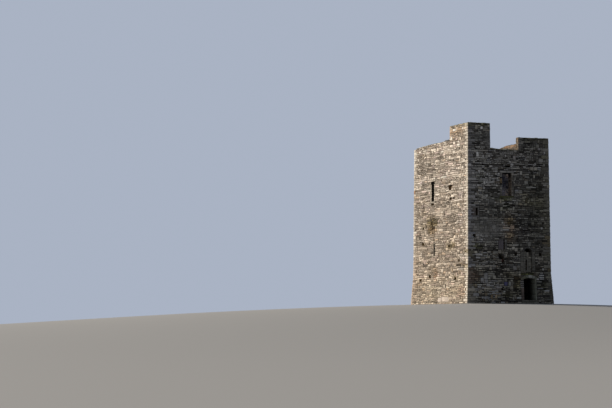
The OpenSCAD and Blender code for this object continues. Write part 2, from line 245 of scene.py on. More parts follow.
def block(fld, c8, col, rng, edge=0.03, rough=0.006, segs=(1, 1, 1), worn=1.0):
    """A dressed or rough block. c8 is its eight corners, the first axis running fastest, right-handed.
    col is a colour, or a function of a point's three places in the block (0 to 1) that gives one."""
    c8 = [Vector(p) for p in c8]
    size = [max(0.02, (c8[1] - c8[0]).length), max(0.02, (c8[2] - c8[0]).length), max(0.02, (c8[4] - c8[0]).length)]
    lines, e = [], []
    for ax in range(3):
        q = min(0.3, edge / size[ax])
        e.append(q)
        mids = [lerp(q, 1 - q, i / segs[ax]) for i in range(1, segs[ax])]
        lines.append([0, q] + mids + [1 - q, 1])
    n = [len(x) for x in lines]
    cuts = {}
    index = {}

    def point(a, b, c):
        p = c8[0].lerp(c8[1], a).lerp(c8[2].lerp(c8[3], a), b)
        q = c8[4].lerp(c8[5], a).lerp(c8[6].lerp(c8[7], a), b)
        return p.lerp(q, c)

    for k in range(n[2]):
        for j in range(n[1]):
            for i in range(n[0]):
                ijk = (i, j, k)
                at = [ijk[x] in (0, n[x] - 1) for x in range(3)]
                s = sum(at)
                if not s:
                    continue
                par = [lines[x][ijk[x]] for x in range(3)]
                pull = {1: 0.0, 2: 0.32, 3: 0.5}[s] * worn
                for x in range(3):
                    sign = 1 if ijk[x] == 0 else -1
                    if at[x] and s > 1:
                        par[x] += sign * e[x] * pull * rng.uniform(0.6, 1.5)
                    elif at[x]:
                        par[x] += sign * rng.uniform(-1, 1) * rough / size[x]
                    elif s < 3:
                        par[x] += rng.uniform(-0.35, 0.35) * min(e[x], 0.1)
                index[ijk] = len(fld.v)
                fld.v.append(tuple(point(*par)))
                # Edge and corner points are painted darker: partly wear, partly painted shade along the block's edges.
                edge_shade = 0.74 if s > 1 else 1.0
                here = col(*[ijk[x] / (n[x] - 1) for x in range(3)]) if callable(col) else col
                fld.c.append(tuple(c * edge_shade for c in here))
    for x, y, w in ((0, 1, 2), (1, 2, 0), (2, 0, 1)):
        for end in (0, n[x] - 1):
            for j in range(n[y] - 1):
                for k in range(n[w] - 1):
                    def at_(b, c):
                        ijk = [0, 0, 0]
                        ijk[x], ijk[y], ijk[w] = end, b, c
                        return index[tuple(ijk)]
                    q = (at_(j, k), at_(j + 1, k), at_(j + 1, k + 1), at_(j, k + 1))
                    fld.f.append(q if end else q[::-1])


def brick(fld, plane, u0, u1, z0, z1, n0, n1, col, rng, **kw):
    """A block whose front lies on a plane: n0 is its back and n1 its front."""
    j = 0.006
    u0, u1, z0, z1 = u0 + j, u1 - j, z0 + j, z1 - j
    c8 = [plane(u0, z0, n0), plane(u1, z0, n0), plane(u0, z1, n0), plane(u1, z1, n0),
          plane(u0, z0, n1), plane(u1, z0, n1), plane(u0, z1, n1), plane(u1, z1, n1)]
    block(fld, c8, col, rng, **kw)


def subtract(segs, a, b):
    out = []
    for p, q in segs:
        if b <= p or a >= q:
            out.append((p, q))
        else:
            if a > p:
                out.append((p, a))
            if b < q:
                out.append((b, q))
    return out


def lay(fld, plane, rows, lo, hi, holes, paint, rng, size=0.30, warp=None, tall=0.12, split=0.16, proud=0.024, joint=0.0075,
        fine=True, sharp=(), gap=None, bed=None):
    """Fills a wall with rough stones, course by course. lo and hi are functions of the course's height.
    sharp holes keep their own height: thinner stones fill what they leave of a course.
    gap widens or narrows the joints by place, and bed opens the bed under a course."""
    free = []
    for z0, z1 in rows:
        zm = (z0 + z1) / 2
        whole = (lo(zm), hi(zm))
        segs = [whole]
        for ua, ub, za, zb in holes:
            if min(z1, zb) - max(z0, za) > 0.36 * (z1 - z0):
                segs = subtract(segs, ua, ub)
        for ua, ub, za, zb in sharp:
            if min(z1, zb) - max(z0, za) > 0.01:
                segs = subtract(segs, ua, ub)
                for a, b in ((z0, za), (zb, z1)):
                    if b - a > 0.045:
                        rest = [(max(ua, whole[0]), min(ub, whole[1]))]
                        for uc, ud, zc, zd in list(holes) + [h for h in sharp if h != (ua, ub, za, zb)]:
                            if min(b, zd) - max(a, zc) > 0.01:
                                rest = subtract(rest, uc, ud)
                        for p, q in rest:
                            n = max(1, round((q - p) / 0.3))
                            for i in range(n if q - p > 0.06 else 0):
                                c, d = lerp(p, q, i / n) + joint, lerp(p, q, (i + 1) / n) - joint
                                stone(fld, plane, [(c, a + joint), (d, a + joint), (d, b - joint), (c, b - joint)],
                                      paint((c + d) / 2, (a + b) / 2, rng), rng, proud, 0.014, warp, fine)
        free.append([s for s in segs if s[1] - s[0] > 0.05])
    for k, (z0, z1) in enumerate(rows):
        h = z1 - z0
        for a, b in free[k]:
            u, lean = a, 0.0
            while u < b - 0.02:
                wide = math.exp(rng.gauss(math.log(size), 0.45)) * (h / 0.12) ** 0.55
                wide = max(0.09, min(0.95, wide))
                end = u + wide
                if b - end < 0.12:
                    end = b if b - u < 0.85 else (u + b) / 2
                nlean = 0.0 if end >= b - 1e-6 else max(-0.03, min(0.03, rng.gauss(0, 0.12) * h))
                g = joint * rng.uniform(0.5, 1.7)
                if gap:
                    g *= gap((u + end) / 2, z0)
                top = z1
                high = False
                if k + 1 < len(rows) and 0.13 < end - u < 0.5 and rng.random() < tall:
                    h2 = rows[k + 1][1] - rows[k + 1][0]
                    for s in free[k + 1]:
                        if s[0] <= u - 1e-6 and s[1] >= end + 1e-6 and h + h2 < 0.42:
                            high = True
                    if high:
                        free[k + 1] = [s for s in subtract(free[k + 1], u, end) if s[1] - s[0] > 0.05]
                        top, nlean, lean = rows[k + 1][1], 0.0, 0.0
                gb = g * rng.uniform(0.7, 2.0) + (min(0.42 * h, bed((u + end) / 2, z0) * rng.uniform(0.1, 1.3)) if bed else 0.0)
                q = [(u + g - lean, z0 + gb), (end - g - nlean, z0 + gb), (end - g + nlean, top - g), (u + g + lean, top - g)]
                if not high and h > 0.125 and end - u > 0.16 and rng.random() < split:
                    f = rng.uniform(0.38, 0.62)
                    zm = lerp(z0, z1, f)
                    stone(fld, plane, [q[0], q[1], (q[1][0], zm - g * 0.7), (q[0][0], zm - g * 0.7)],
                          paint(u, z0, rng), rng, proud, 0.014, warp, fine)
                    stone(fld, plane, [(q[0][0], zm + g * 0.7), (q[1][0], zm + g * 0.7), q[2], q[3]],
                          paint(u, z1, rng), rng, proud, 0.014, warp, fine)
                else:
                    stone(fld, plane, q, paint((u + end) / 2, (z0 + top) / 2, rng), rng, proud, 0.018, warp, fine)
                u, lean = end, nlean


def make_warp(seed, fixed, half, ztop):
    """Gentle waves in the courses that fade out near corners, tops and openings."""
    rng = random.Random(seed)
    p = [rng.uniform(0, 6.28) for _ in range(6)]

    def warp(u, z):
        f = min(1.0, max(0.0, (half - abs(u) - 0.75) / 0.7))
        f *= min(1.0, max(0.0, z / 0.5)) * min(1.0, max(0.0, (ztop - z) / 0.5))
        if f > 0:
            for ua, ub, za, zb in fixed:
                dx = max(ua - u, u - ub, 0.0)
                dz = max(za - z, z - zb, 0.0)
                near = 0.4 if zb - za > 0.3 else 0.2
                if dx < near and dz < near:
                    f *= min(1.0, math.hypot(dx, dz) / near)
        if f <= 0:
            return u, z
        wz = 0.030 * math.sin(1.3 * u + 0.5 * z + p[0]) + 0.020 * math.sin(3.1 * u - 1.1 * z + p[1]) + 0.011 * math.sin(7.0 * u + 2.1 * z + p[2])
        wu = 0.022 * math.sin(1.9 * z + 0.8 * u + p[3]) + 0.012 * math.sin(5.3 * z - 1.7 * u + p[4])
        return u + f * wu, z + f * wz
    return warp


# ------------------------------------------------------------------ colours of stones
def value(rng, sd):
    return math.exp(rng.gauss(0, sd))


def dim(c, k):
    return tuple(x * k for x in c)


def vary(rng, c, sd):
    """A stone's colour: the same hue, lighter or darker."""
    v = value(rng, sd)
    return tuple(min(0.85, x * v) for x in c)


def streaks(seed, sd):
    """Courses that run lighter or darker along their length."""
    rng = random.Random(seed)
    t = [(rng.gauss(0, sd), sd * rng.uniform(0.5, 1.3), rng.uniform(0.9, 2.6), rng.uniform(0, 6.28), rng.uniform(0, 6.28)) for _ in ROWS]

    def at(u, z):
        a, b, w, p, q = t[row_at(z)]
        return math.exp(a + b * math.sin(w * u + p) + 0.6 * b * math.sin(2.3 * w * u + q))
    return at


def weight(cu, cz, ru, rz, u, z):
    return math.exp(-((u - cu) / ru) ** 2 - ((z - cz) / rz) ** 2)


def spots(col, v, places, u, z):
    """Patches of another colour, scaled by the stone's value: (centre u, centre z, reach along, reach up, colour,
    strength).
    """
    for cu, cz, ru, rz, rgb, w in places:
        g = w * weight(cu, cz, ru, rz, u, z)
        if g > 0.02:
            col = mix(col, tuple(c * v for c in rgb), min(1.0, g))
    return col


def beds(seed, share, wide):
    """Courses whose bed is washed out along part of their length."""
    rng = random.Random(seed)
    t = [(rng.random() < share, wide * rng.uniform(0.6, 1.3), rng.uniform(0, 6.28), rng.uniform(1.0, 2.6)) for _ in ROWS]

    def at(u, z):
        on, k, p, w = t[row_at(z + 0.01)]
        return max(0.0, k * (0.55 + 0.6 * math.sin(w * u + p))) if on else 0.0
    return at


def shades(places, u, z):
    """Broad lighter and darker places: (centre u, centre z, reach along, reach up, strength)."""
    return math.exp(sum(w * weight(cu, cz, ru, rz, u, z) for cu, cz, ru, rz, w in places))


FRONT_SPOTS = [
    (0.03, 6.3, 0.46, 0.90, (0.25, 0.185, 0.14), 0.70),
    (0.0, 6.8, 0.28, 0.2, (0.23, 0.195, 0.09), 0.6),
    (-0.85, 6.3, 0.28, 0.5, (0.30, 0.30, 0.31), 0.7),
    (-2.0, 6.2, 1.45, 0.85, (0.245, 0.25, 0.26), 0.80),
    (2.9, 8.3, 1.0, 3.4, (0.150, 0.147, 0.115), 0.50),
    (2.5, 8.25, 1.2, 0.45, (0.15, 0.15, 0.09), 0.45),
    (-0.45, 8.68, 0.75, 0.14, (0.095, 0.105, 0.040), 0.88),
    (-0.82, 10.22, 0.17, 0.32, (0.24, 0.18, 0.13), 0.75),
    (-3.1, 4.66, 0.35, 0.20, (0.15, 0.165, 0.07), 0.70),
    (-3.3, 2.30, 0.42, 0.33, (0.19, 0.14, 0.13), 0.60),
    (0.65, 1.40, 0.60, 1.0, (0.17, 0.155, 0.10), 0.60),
    (1.66, 2.52, 0.45, 0.10, (0.16, 0.17, 0.07), 0.75),
    (0.71, 2.12, 0.24, 0.14, (0.24, 0.16, 0.10), 0.70),
    (-1.2, 1.0, 0.4, 0.22, (0.33, 0.28, 0.26), 0.50),
    (0.64, 3.47, 0.24, 0.38, (0.25, 0.25, 0.25), 0.70),
    (2.4, 13.6, 1.2, 0.09, (0.19, 0.16, 0.17), 0.50),
    (3.6, 12.0, 0.16, 1.7, (0.19, 0.18, 0.10), 0.50),
    (-2.4, 2.08, 0.42, 0.5, (0.34, 0.34, 0.345), 0.75),
    (3.4, 5.8, 0.35, 2.6, (0.18, 0.17, 0.12), 0.50),
]
FRONT_SHADES = [
    (-3.2, 11.9, 0.6, 0.9, 0.45), (-1.2, 12.3, 0.9, 0.5, 0.40), (0.4, 11.4, 2.0, 0.35, 0.50), (-2.6, 9.0, 1.0, 1.1, 0.32), (0.2, 5.2, 0.8, 1.7, 0.22),
    (-2.2, 5.1, 1.3, 0.5, 0.30), (-2.4, 3.5, 1.6, 0.8, 0.32), (-2.5, 1.0, 1.4, 0.9, 0.38), (2.9, 9.0, 0.6, 0.5, 0.25), (3.1, 3.9, 0.5, 0.5, 0.36),
    (2.1, 9.7, 0.7, 0.35, -0.38), (-1.2, 7.5, 1.3, 0.8, -0.30), (1.6, 6.5, 0.7, 0.5, -0.20), (3.1, 1.9, 0.5, 0.8, -0.25), (2.1, 5.2, 0.7, 0.6, 0.30),
    (0.1, 0.9, 0.6, 0.5, -0.30), (3.1, 11.2, 0.5, 0.8, 0.30), (-2.6, 14.1, 0.9, 0.9, 0.25), (-2.2, 12.6, 0.5, 0.4, -0.30), (-1.6, 9.5, 0.8, 0.4, 0.22),
    (-1.85, 11.11, 0.7, 0.2, 0.25), (-2.1, 9.9, 0.35, 0.22, 0.30), (-2.4, 10.6, 1.5, 1.3, 0.42), (0.6, 11.3, 1.6, 0.9, 0.30), (-1.4, 1.35, 0.8, 0.75, 0.35),
    (1.6, 3.4, 1.5, 0.6, 0.15), (-0.4, 3.4, 2.6, 1.1, 0.15),
    (2.9, 2.2, 0.35, 0.35, 0.25), (2.9, 8.6, 1.1, 3.6, -0.42), (-2.7, 13.9, 0.9, 0.9, -0.10), (1.6, 5.2, 1.6, 1.0, -0.20),
    (-0.6, 12.4, 1.4, 0.4, -0.08), (2.4, 3.2, 0.8, 1.2, -0.22), (-1.6, 3.6, 1.6, 1.0, 0.10), (2.0, 12.9, 1.3, 0.8, -0.12),
    (0.6, 4.9, 1.0, 0.9, -0.15), (0.7, 1.6, 0.5, 1.0, -0.20), (3.2, 0.6, 0.7, 0.5, -0.35), (-0.6, 0.25, 3.0, 0.12, -0.5),
]
LEFT_SPOTS = [
    (-1.70, 6.90, 0.88, 0.50, (0.19, 0.155, 0.065), 1.00),
    (-1.05, 7.20, 0.34, 0.20, (0.075, 0.070, 0.025), 1.00), (-1.14, 7.28, 0.20, 0.12, (0.035, 0.032, 0.012), 1.00),
    (-1.65, 7.02, 0.20, 0.10, (0.035, 0.032, 0.012), 0.90), (-2.05, 6.45, 0.45, 0.30, (0.16, 0.13, 0.055), 0.80),
    (-2.00, 7.10, 0.42, 0.18, (0.12, 0.11, 0.040), 1.00),
    (-1.15, 6.62, 0.20, 0.34, (0.10, 0.085, 0.035), 0.90),
    (-1.60, 6.35, 0.36, 0.18, (0.27, 0.17, 0.09), 0.75),
    (-1.35, 5.95, 0.12, 0.25, (0.24, 0.16, 0.09), 0.60),
    (2.05, 4.93, 0.50, 0.24, (0.16, 0.135, 0.050), 1.00),
    (2.65, 4.90, 0.35, 0.08, (0.16, 0.12, 0.07), 0.75),
    (4.15, 3.24, 0.95, 0.08, (0.15, 0.10, 0.05), 0.75),
    (4.85, 3.10, 0.30, 0.12, (0.10, 0.08, 0.035), 1.00),
    (4.05, 2.93, 0.60, 0.11, (0.50, 0.50, 0.49), 0.80),
    (2.80, 2.13, 0.32, 0.15, (0.24, 0.23, 0.10), 0.80),
    (-0.78, 2.40, 0.26, 0.45, (0.36, 0.21, 0.12), 0.60),
    (4.40, 1.00, 0.85, 0.50, (0.45, 0.335, 0.29), 0.65),
    (-1.50, 1.20, 2.0, 1.0, (0.44, 0.405, 0.30), 0.35),
    (-5.0, 2.40, 0.6, 1.4, (0.43, 0.32, 0.235), 0.35),
    (3.30, 14.4, 1.4, 0.50, (0.37, 0.27, 0.175), 0.65),
    (2.3, 14.35, 0.25, 0.45, (0.38, 0.24, 0.135), 0.60),
    (0.80, 10.32, 0.30, 0.13, (0.55, 0.40, 0.27), 0.85),
    (0.80, 10.75, 0.30, 0.10, (0.40, 0.45, 0.43), 0.80),
    (1.87, 10.21, 0.17, 0.06, (0.13, 0.09, 0.05), 0.9), (2.70, 10.14, 0.17, 0.06, (0.13, 0.09, 0.05), 0.9),
    (2.45, 9.85, 0.25, 0.16, (0.30, 0.22, 0.15), 0.6),
    (4.95, 4.35, 0.32, 0.14, (0.17, 0.15, 0.05), 0.95),
    (4.15, 2.62, 0.22, 0.08, (0.11, 0.08, 0.045), 0.9), (2.48, 2.80, 0.2, 0.09, (0.12, 0.09, 0.055), 0.9),
    (4.6, 2.55, 0.2, 0.07, (0.12, 0.09, 0.055), 0.8), (3.1, 2.62, 0.25, 0.06, (0.15, 0.11, 0.06), 0.8),
    (3.75, 3.90, 0.3, 0.10, (0.20, 0.16, 0.08), 0.35), (-1.44, 3.22, 0.22, 0.1, (0.14, 0.125, 0.05), 0.85),
    (-2.0, 4.15, 0.25, 0.09, (0.17, 0.14, 0.06), 0.8), (-3.3, 4.35, 0.2, 0.08, (0.17, 0.13, 0.09), 0.7),
    (-3.2, 7.9, 0.5, 0.3, (0.27, 0.22, 0.15), 0.35), (-3.5, 12.95, 0.35, 0.09, (0.20, 0.14, 0.09), 0.8),
    (-2.45, 12.9, 0.5, 0.12, (0.26, 0.21, 0.16), 0.7), (-2.0, 11.95, 0.25, 0.30, (0.22, 0.18, 0.14), 0.7),
]
LEFT_SHADES = [
    (-1.0, 6.4, 1.6, 0.3, -0.12), (-0.3, 2.8, 0.9, 0.7, -0.12), (3.5, 7.2, 1.0, 0.5, 0.12), (2.9, 1.2, 1.7, 0.4, 0.10), (-3.0, 11.7, 1.5, 0.3, 0.14),
    (1.0, 8.5, 1.6, 0.4, 0.12),
    (0.0, 12.4, 8.0, 2.2, 0.10), (-2.55, 1.45, 0.55, 0.55, 0.35), (1.0, 13.0, 2.2, 0.6, 0.10), (-2.7, 12.0, 1.7, 0.5, -0.36), (-3.4, 11.4, 1.5, 0.3, -0.30), (-2.7, 12.62, 2.2, 0.06, 0.50), (0.4, 13.2, 1.0, 0.4, 0.15),
    (2.9, 13.6, 0.8, 0.25, 0.22), (3.9, 11.6, 1.1, 0.5, 0.18), (-3.2, 9.7, 0.8, 0.35, -0.22), (-0.45, 9.5, 0.5, 0.9, 0.15),
    (-3.6, 6.0, 1.3, 0.4, -0.22), (1.0, 5.82, 0.7, 0.12, 0.30), (4.7, 3.7, 0.5, 0.4, 0.35), (-2.5, 1.85, 0.6, 0.22, 0.40),
    (-2.2, 0.85, 1.0, 0.25, 0.28), (2.2, 12.2, 1.1, 0.35, -0.15), (0.3, 3.2, 1.6, 1.0, -0.12), (2.5, 6.5, 1.5, 0.8, -0.08),
    (-4.6, 5.6, 0.7, 0.5, -0.20), (3.6, 9.0, 1.3, 1.2, 0.08), (0.9, 11.4, 1.2, 0.2, -0.12), (2.5, 11.2, 1.3, 0.15, -0.18),
]
# the same for each channel: (centre u, centre z, reach along, reach up, factors)
FRONT_TINTS = [
    (-2.93, 11.2, 0.5, 0.4, (1.95, 1.97, 1.9)), (-3.2, 10.2, 0.5, 0.5, (2.0, 2.05, 1.95)), (-1.56, 10.47, 0.4, 0.35, (1.5, 1.5, 1.5)),
    (0.31, 11.7, 0.5, 0.25, (1.08, 1.08, 1.05)), (2.92, 11.2, 0.5, 0.3, (2.35, 2.4, 2.4)), (1.49, 8.8, 0.45, 0.5, (1.42, 1.38, 1.22)),
    (2.7, 8.75, 0.5, 0.35, (1.32, 1.28, 1.22)), (2.34, 9.9, 0.6, 0.5, (0.86, 0.86, 0.79)), (-0.4, 8.0, 0.45, 0.3, (0.58, 0.60, 0.48)),
    (-1.6, 7.9, 0.5, 0.35, (0.52, 0.52, 0.52)), (1.0, 7.62, 0.45, 0.3, (0.70, 0.67, 0.62)), (2.2, 6.64, 0.5, 0.35, (0.84, 0.84, 0.78)),
    (1.17, 5.96, 0.45, 0.3, (0.46, 0.43, 0.50)), (-2.9, 5.39, 0.6, 0.3, (2.35, 2.35, 2.4)), (-2.92, 3.74, 0.5, 0.4, (3.3, 3.3, 3.2)),
    (-2.97, 1.5, 0.5, 0.4, (2.0, 1.9, 1.65)), (-2.2, 0.55, 0.5, 0.3, (3.3, 3.0, 2.5)), (-1.45, 0.72, 0.4, 0.3, (2.4, 2.0, 1.6)),
    (0.72, 1.71, 0.3, 0.4, (2.5, 2.5, 2.0)), (-0.27, 2.5, 0.5, 0.3, (0.46, 0.43, 0.34)), (-0.25, 0.63, 0.5, 0.3, (0.36, 0.35, 0.2)),
    (3.03, 1.5, 0.5, 0.7, (0.34, 0.35, 0.26)), (-0.59, 6.5, 0.3, 0.4, (2.5, 2.35, 2.3)), (3.15, 7.0, 0.4, 0.4, (1.65, 1.65, 1.8)),
    (-1.82, 3.42, 0.5, 0.3, (0.60, 0.62, 0.64)), (-0.05, 6.9, 0.46, 0.4, (1.14, 1.02, 0.80)), (0.0, 5.6, 0.42, 0.45, (1.25, 1.10, 0.92)),
    
    (0.24, 6.33, 0.25, 0.15, (0.72, 0.66, 0.62)), (1.83, 4.97, 0.25, 0.15, (0.62, 0.62, 0.62)), (-1.54, 2.23, 0.3, 0.15, (0.80, 0.80, 0.78)),
    (-0.61, 3.09, 0.3, 0.15, (0.84, 0.84, 0.82)), (-1.03, 6.9, 0.5, 0.3, (1.12, 1.1, 1.06)), (0.35, 11.2, 0.7, 0.3, (1.12, 1.12, 1.12)), (0.05, 2.24, 0.45, 0.3, (0.87, 0.86, 0.76)),
    (1.48, 8.47, 0.5, 0.3, (1.1, 1.08, 1.0)), (2.96, 1.85, 0.5, 0.25, (0.9, 0.9, 0.88)), (0.0, 5.6, 0.5, 0.4, (1.12, 1.08, 1.02)),
    (1.7, 5.15, 0.8, 0.3, (1.17, 1.18, 1.2)), (-0.89, 4.01, 0.4, 0.3, (1.18, 1.12, 1.06)), (-2.38, 2.51, 0.5, 0.3, (1.12, 1.16, 1.12)), (-0.4, 12.6, 0.9, 0.3, (1.6, 1.6, 1.62)),
    (3.0, 12.03, 0.25, 0.12, (0.55, 0.55, 0.56)), (0.55, 12.22, 0.2, 0.12, (0.72, 0.78, 0.95)), (1.14, 10.90, 0.15, 0.16, (0.72, 0.72, 0.72)),
    (-0.72, 7.77, 0.2, 0.15, (0.8, 0.8, 0.78)), (0.38, 7.88, 0.2, 0.15, (0.8, 0.8, 0.76)),
    (-2.1, 6.3, 1.3, 0.9, (1.02, 0.99, 0.94)), (2.3, 2.75, 0.6, 0.3, (0.96, 0.92, 0.82)), (-3.3, 2.3, 0.4, 0.5, (0.70, 0.59, 0.50)),
]
FRONT_LEVELS = [(0.0, (1.10, 1.05, 0.94)), (4.0, (1.08, 1.05, 0.98)), (6.5, (1.03, 1.03, 0.99)), (8.6, (1.02, 1.02, 0.98)), (9.8, (1.15, 1.15, 1.14)),
                (12.6, (1.14, 1.13, 1.12)), (13.1, (0.90, 0.90, 0.88)), (14.1, (0.76, 0.76, 0.73)), (14.55, (1.0, 0.97, 0.90)), (14.9, (1.06, 1.0, 0.88))]
LEFT_TINTS = [
    (-1.64, 6.85, 0.72, 0.50, (0.63, 0.49, 0.235)), (-3.5, 6.75, 0.6, 0.3, (0.95, 0.93, 0.85)), (-1.6, 6.35, 0.65, 0.30, (0.50, 0.41, 0.255)),
    (2.07, 4.85, 0.7, 0.26, (0.88, 0.79, 0.51)), (-1.3, 2.97, 0.7, 0.45, (0.73, 0.67, 0.57)), (-0.59, 2.7, 0.5, 0.35, (0.58, 0.54, 0.51)),
    (3.0, 2.14, 0.6, 0.27, (1.0, 0.98, 0.88)), (3.9, 1.13, 1.3, 0.55, (1.24, 1.24, 1.16)), (2.2, 0.99, 0.8, 0.3, (1.52, 1.50, 1.43)),
    (-3.54, 10.6, 0.8, 0.3, (1.32, 1.35, 1.45)), (2.9, 11.2, 0.9, 0.35, (1.75, 1.74, 1.82)), (0.94, 11.35, 0.8, 0.3, (1.8, 1.76, 1.8)),
    (4.28, 7.1, 0.7, 0.45, (1.52, 1.57, 1.72)), (-4.1, 3.27, 0.7, 0.35, (0.46, 0.45, 0.45)), (-4.55, 6.07, 0.6, 0.4, (0.61, 0.58, 0.55)),
    (3.9, 5.27, 0.7, 0.35, (1.53, 1.52, 1.56)), (4.3, 4.0, 0.6, 0.35, (1.95, 2.1, 2.3)), (3.88, 9.0, 0.7, 0.4, (1.30, 1.33, 1.42)),
    (3.9, 14.6, 1.2, 0.35, (0.80, 0.76, 0.70)), (3.2, 13.9, 1.2, 0.4, (0.95, 0.94, 0.93)), (-4.2, 1.8, 0.9, 0.7, (1.0, 0.99, 0.94)),
    (4.87, 4.37, 0.35, 0.18, (0.76, 0.70, 0.60)), (-3.3, 5.1, 0.40, 0.20, (0.80, 0.76, 0.70)),
]
LEFT_LEVELS = [(0.0, (0.99, 0.94, 0.87)), (4.0, (0.975, 0.93, 0.89)), (8.0, (0.98, 0.95, 0.93)), (10.0, (1.04, 1.03, 1.03)), (15.0, (1.05, 1.04, 1.04))]


def tinted(col, places, levels, u, z):
    for i, (z1, b) in enumerate(levels):
        if z < z1 or i == len(levels) - 1:
            z0, a = levels[max(0, i - 1)]
            k = mix(a, b, min(1.0, max(0.0, (z - z0) / (z1 - z0)))) if z1 > z0 else b
            break
    col = tuple(c * q for c, q in zip(col, k))
    for cu, cz, ru, rz, f in places:
        w = weight(cu, cz, ru, rz, u, z)
        if w > 0.02:
            col = tuple(c * (1 + (q - 1) * w) for c, q in zip(col, f))
    return col


streak_front = streaks("front streaks", 0.24)
streak_left = streaks("left streaks", 0.12)
beds_front = beds("front beds", 0.62, 0.050)
beds_left = beds("left beds", 0.45, 0.030)
streak_grey = streaks("other streaks", 0.14)


def plaster(u, z):
    """Where the front is flush with mortar, from 0 to 1."""
    return min(1.0, 1.35 * weight(-2.05, 6.2, 1.45, 0.95, u, z) + 0.75 * weight(-1.9, 8.45, 0.7, 0.45, u, z) + 0.62 * weight(-2.6, 13.75, 0.85, 0.75, u, z))


PALER = [(0.0, 1.05), (1.9, 1.05), (2.3, 0.88), (3.8, 0.88), (4.6, 0.76), (9.0, 0.76), (9.6, 1.0)]
CONTRAST = [(0.0, 1.28), (3.6, 1.28), (4.6, 1.0), (9.3, 1.0), (9.9, 1.18), (12.6, 1.18), (12.9, 0.8)]


# The front's stones are darker and greyer than the left wall's: partly their own weathered colour, partly painted
# shade, as this wall stands out of the key light.
def paint_front(u, z, rng):
    r = rng.random()
    v = value(rng, 0.44)
    pale = 0.12 + 0.15 * weight(-1.5, 1.6, 1.9, 2.0, u, z) + 0.12 * weight(-2.2, 10.4, 1.8, 1.5, u, z) - 0.06 * weight(2.8, 7.0, 1.0, 4.0, u, z)
    if r < pale:
        col, v = dim((0.42, 0.42, 0.41), line(PALER, z)), value(rng, 0.20)
    elif r < pale + 0.06:
        col = (0.225, 0.205, 0.18)
    elif r < pale + 0.12:
        col = (0.21, 0.212, 0.225)
    elif r < pale + 0.23:
        col, v = (0.070, 0.068, 0.064), 1.0
    else:
        col = (0.232, 0.228, 0.217)
    v = v ** line(CONTRAST, z) * streak_front(u, z) * shades(FRONT_SHADES, u, z)
    flat = plaster(u, z)
    if flat > 0.05:
        v = v ** (1 - 0.72 * flat)
        col = mix(col, (0.235, 0.24, 0.25), 0.85 * flat)
    v = min(v, 2.2)
    col = dim(col, v)
    col = spots(col, v, FRONT_SPOTS, u, z)
    top = TUR if u < TX else LOW if u < BX else BLOCK
    m = max(0.0, 1 - (top - z) / (0.40 if top > LOW else 0.15))
    if m > 0:
        col = mix(col, (0.125 * v, 0.135 * v, 0.07 * v), 0.8 * m)
    col = tinted(col, FRONT_TINTS, FRONT_LEVELS, u, z)
    return tuple(min(0.56, c) for c in col)


def bed_front(u, z):
    return beds_front(u, z) * (1 - plaster(u, z)) * (1 - 0.5 * weight(2.8, 7.0, 1.2, 4.0, u, z))


def gap_front(u, z):
    """How wide the joints are: nearly none where the wall is flush with mortar."""
    return (1 - 0.8 * plaster(u, z)) * (1 - 0.25 * weight(2.8, 7.0, 1.0, 4.0, u, z))


# The left wall's stones are lighter and warmer than the front's: partly their own colour, partly painted light, as the
# key light falls on this wall.
def paint_left(u, z, rng):
    v = value(rng, 0.27)
    r = rng.random()
    if r < 0.17:
        col, v = (0.62, 0.565, 0.49), value(rng, 0.10)
    elif r < 0.30:
        col = (0.255, 0.215, 0.175)
    elif r < 0.33:
        col = (0.43, 0.345, 0.265)
    elif r < 0.42:
        col = (0.45, 0.375, 0.335)
    else:
        col = (0.43, 0.38, 0.32)
    v *= streak_left(u, z) * shades(LEFT_SHADES, u, z)
    col = dim(col, v)
    col = spots(col, v, LEFT_SPOTS, u, z)
    if z > 14.75:
        col = mix(col, (0.22 * v, 0.20 * v, 0.12 * v), 0.7 * (z - 14.75) / 0.2)
    col = tinted(col, LEFT_TINTS, LEFT_LEVELS, u, z)
    top = max(col)
    return dim(col, 0.72 / top) if top > 0.72 else col


def paint_grey(u, z, rng):
    v = value(rng, 0.34) * streak_grey(u, z)
    r = rng.random()
    col = (0.42, 0.40, 0.37) if r < 0.1 else (0.26, 0.215, 0.17) if r < 0.25 else (0.265, 0.25, 0.225)
    col = dim(col, v)
    m = max(0.0, 1 - (SIDE - z) / 0.5)
    if m > 0:
        col = mix(col, (0.12 * v, 0.13 * v, 0.07 * v), 0.5 * min(1.0, m))
    return tuple(min(0.75, c) for c in col)


def paint_inner(u, z, rng):
    r = rng.random()
    col = (0.38, 0.335, 0.27) if r < 0.15 else (0.26, 0.20, 0.15) if r < 0.3 else (0.30, 0.265, 0.22)
    return vary(rng, col, 0.3)


def paint_sunny(u, z, rng):
    """The right parapet's inner face: tan, with rust at its foot near the front."""
    r = rng.random()
    col = (0.255, 0.205, 0.16) if r < 0.25 else (0.11, 0.08, 0.055) if r < 0.42 else (0.17, 0.136, 0.105)
    if line(RIGHT_LINE, -u) - z < 0.17:
        col = mix(col, (0.34, 0.19, 0.095), 0.55 + 0.25 * math.sin(2.3 * u))
    return vary(rng, col, 0.18)


def paint_tops(u, z, rng):
    r = rng.random()
    return vary(rng, (0.20, 0.19, 0.12) if r < 0.35 else (0.28, 0.255, 0.20) if r < 0.85 else (0.40, 0.37, 0.31), 0.28)


def paint_rust(u, z, rng):
    return vary(rng, mix((0.22, 0.13, 0.075), (0.20, 0.175, 0.13), rng.random()), 0.22)


def mossy(fld, share, scale=2.6):
    """Tints a field's points with moss in patches that run over its joints."""
    for i, (x, y, z) in enumerate(fld.v):
        g = noise.noise(Vector((x * scale, y * scale, z * scale * 0.7))) + 0.45 * noise.noise(Vector((x * 9.0 + 3.1, y * 9.0, z * 9.0)))
        m = min(1.0, max(0.0, (g + share) * 2.4))
        fld.c[i] = tuple(c * lerp(1.0, k, m) for c, k in zip(fld.c[i], (0.62, 0.72, 0.36)))


# ------------------------------------------------------------------ materials
def nodes_of(name):
    m = bpy.data.materials.new(name)
    m.use_nodes = True
    t = m.node_tree
    bsdf = t.nodes["Principled BSDF"]
    return m, t, bsdf


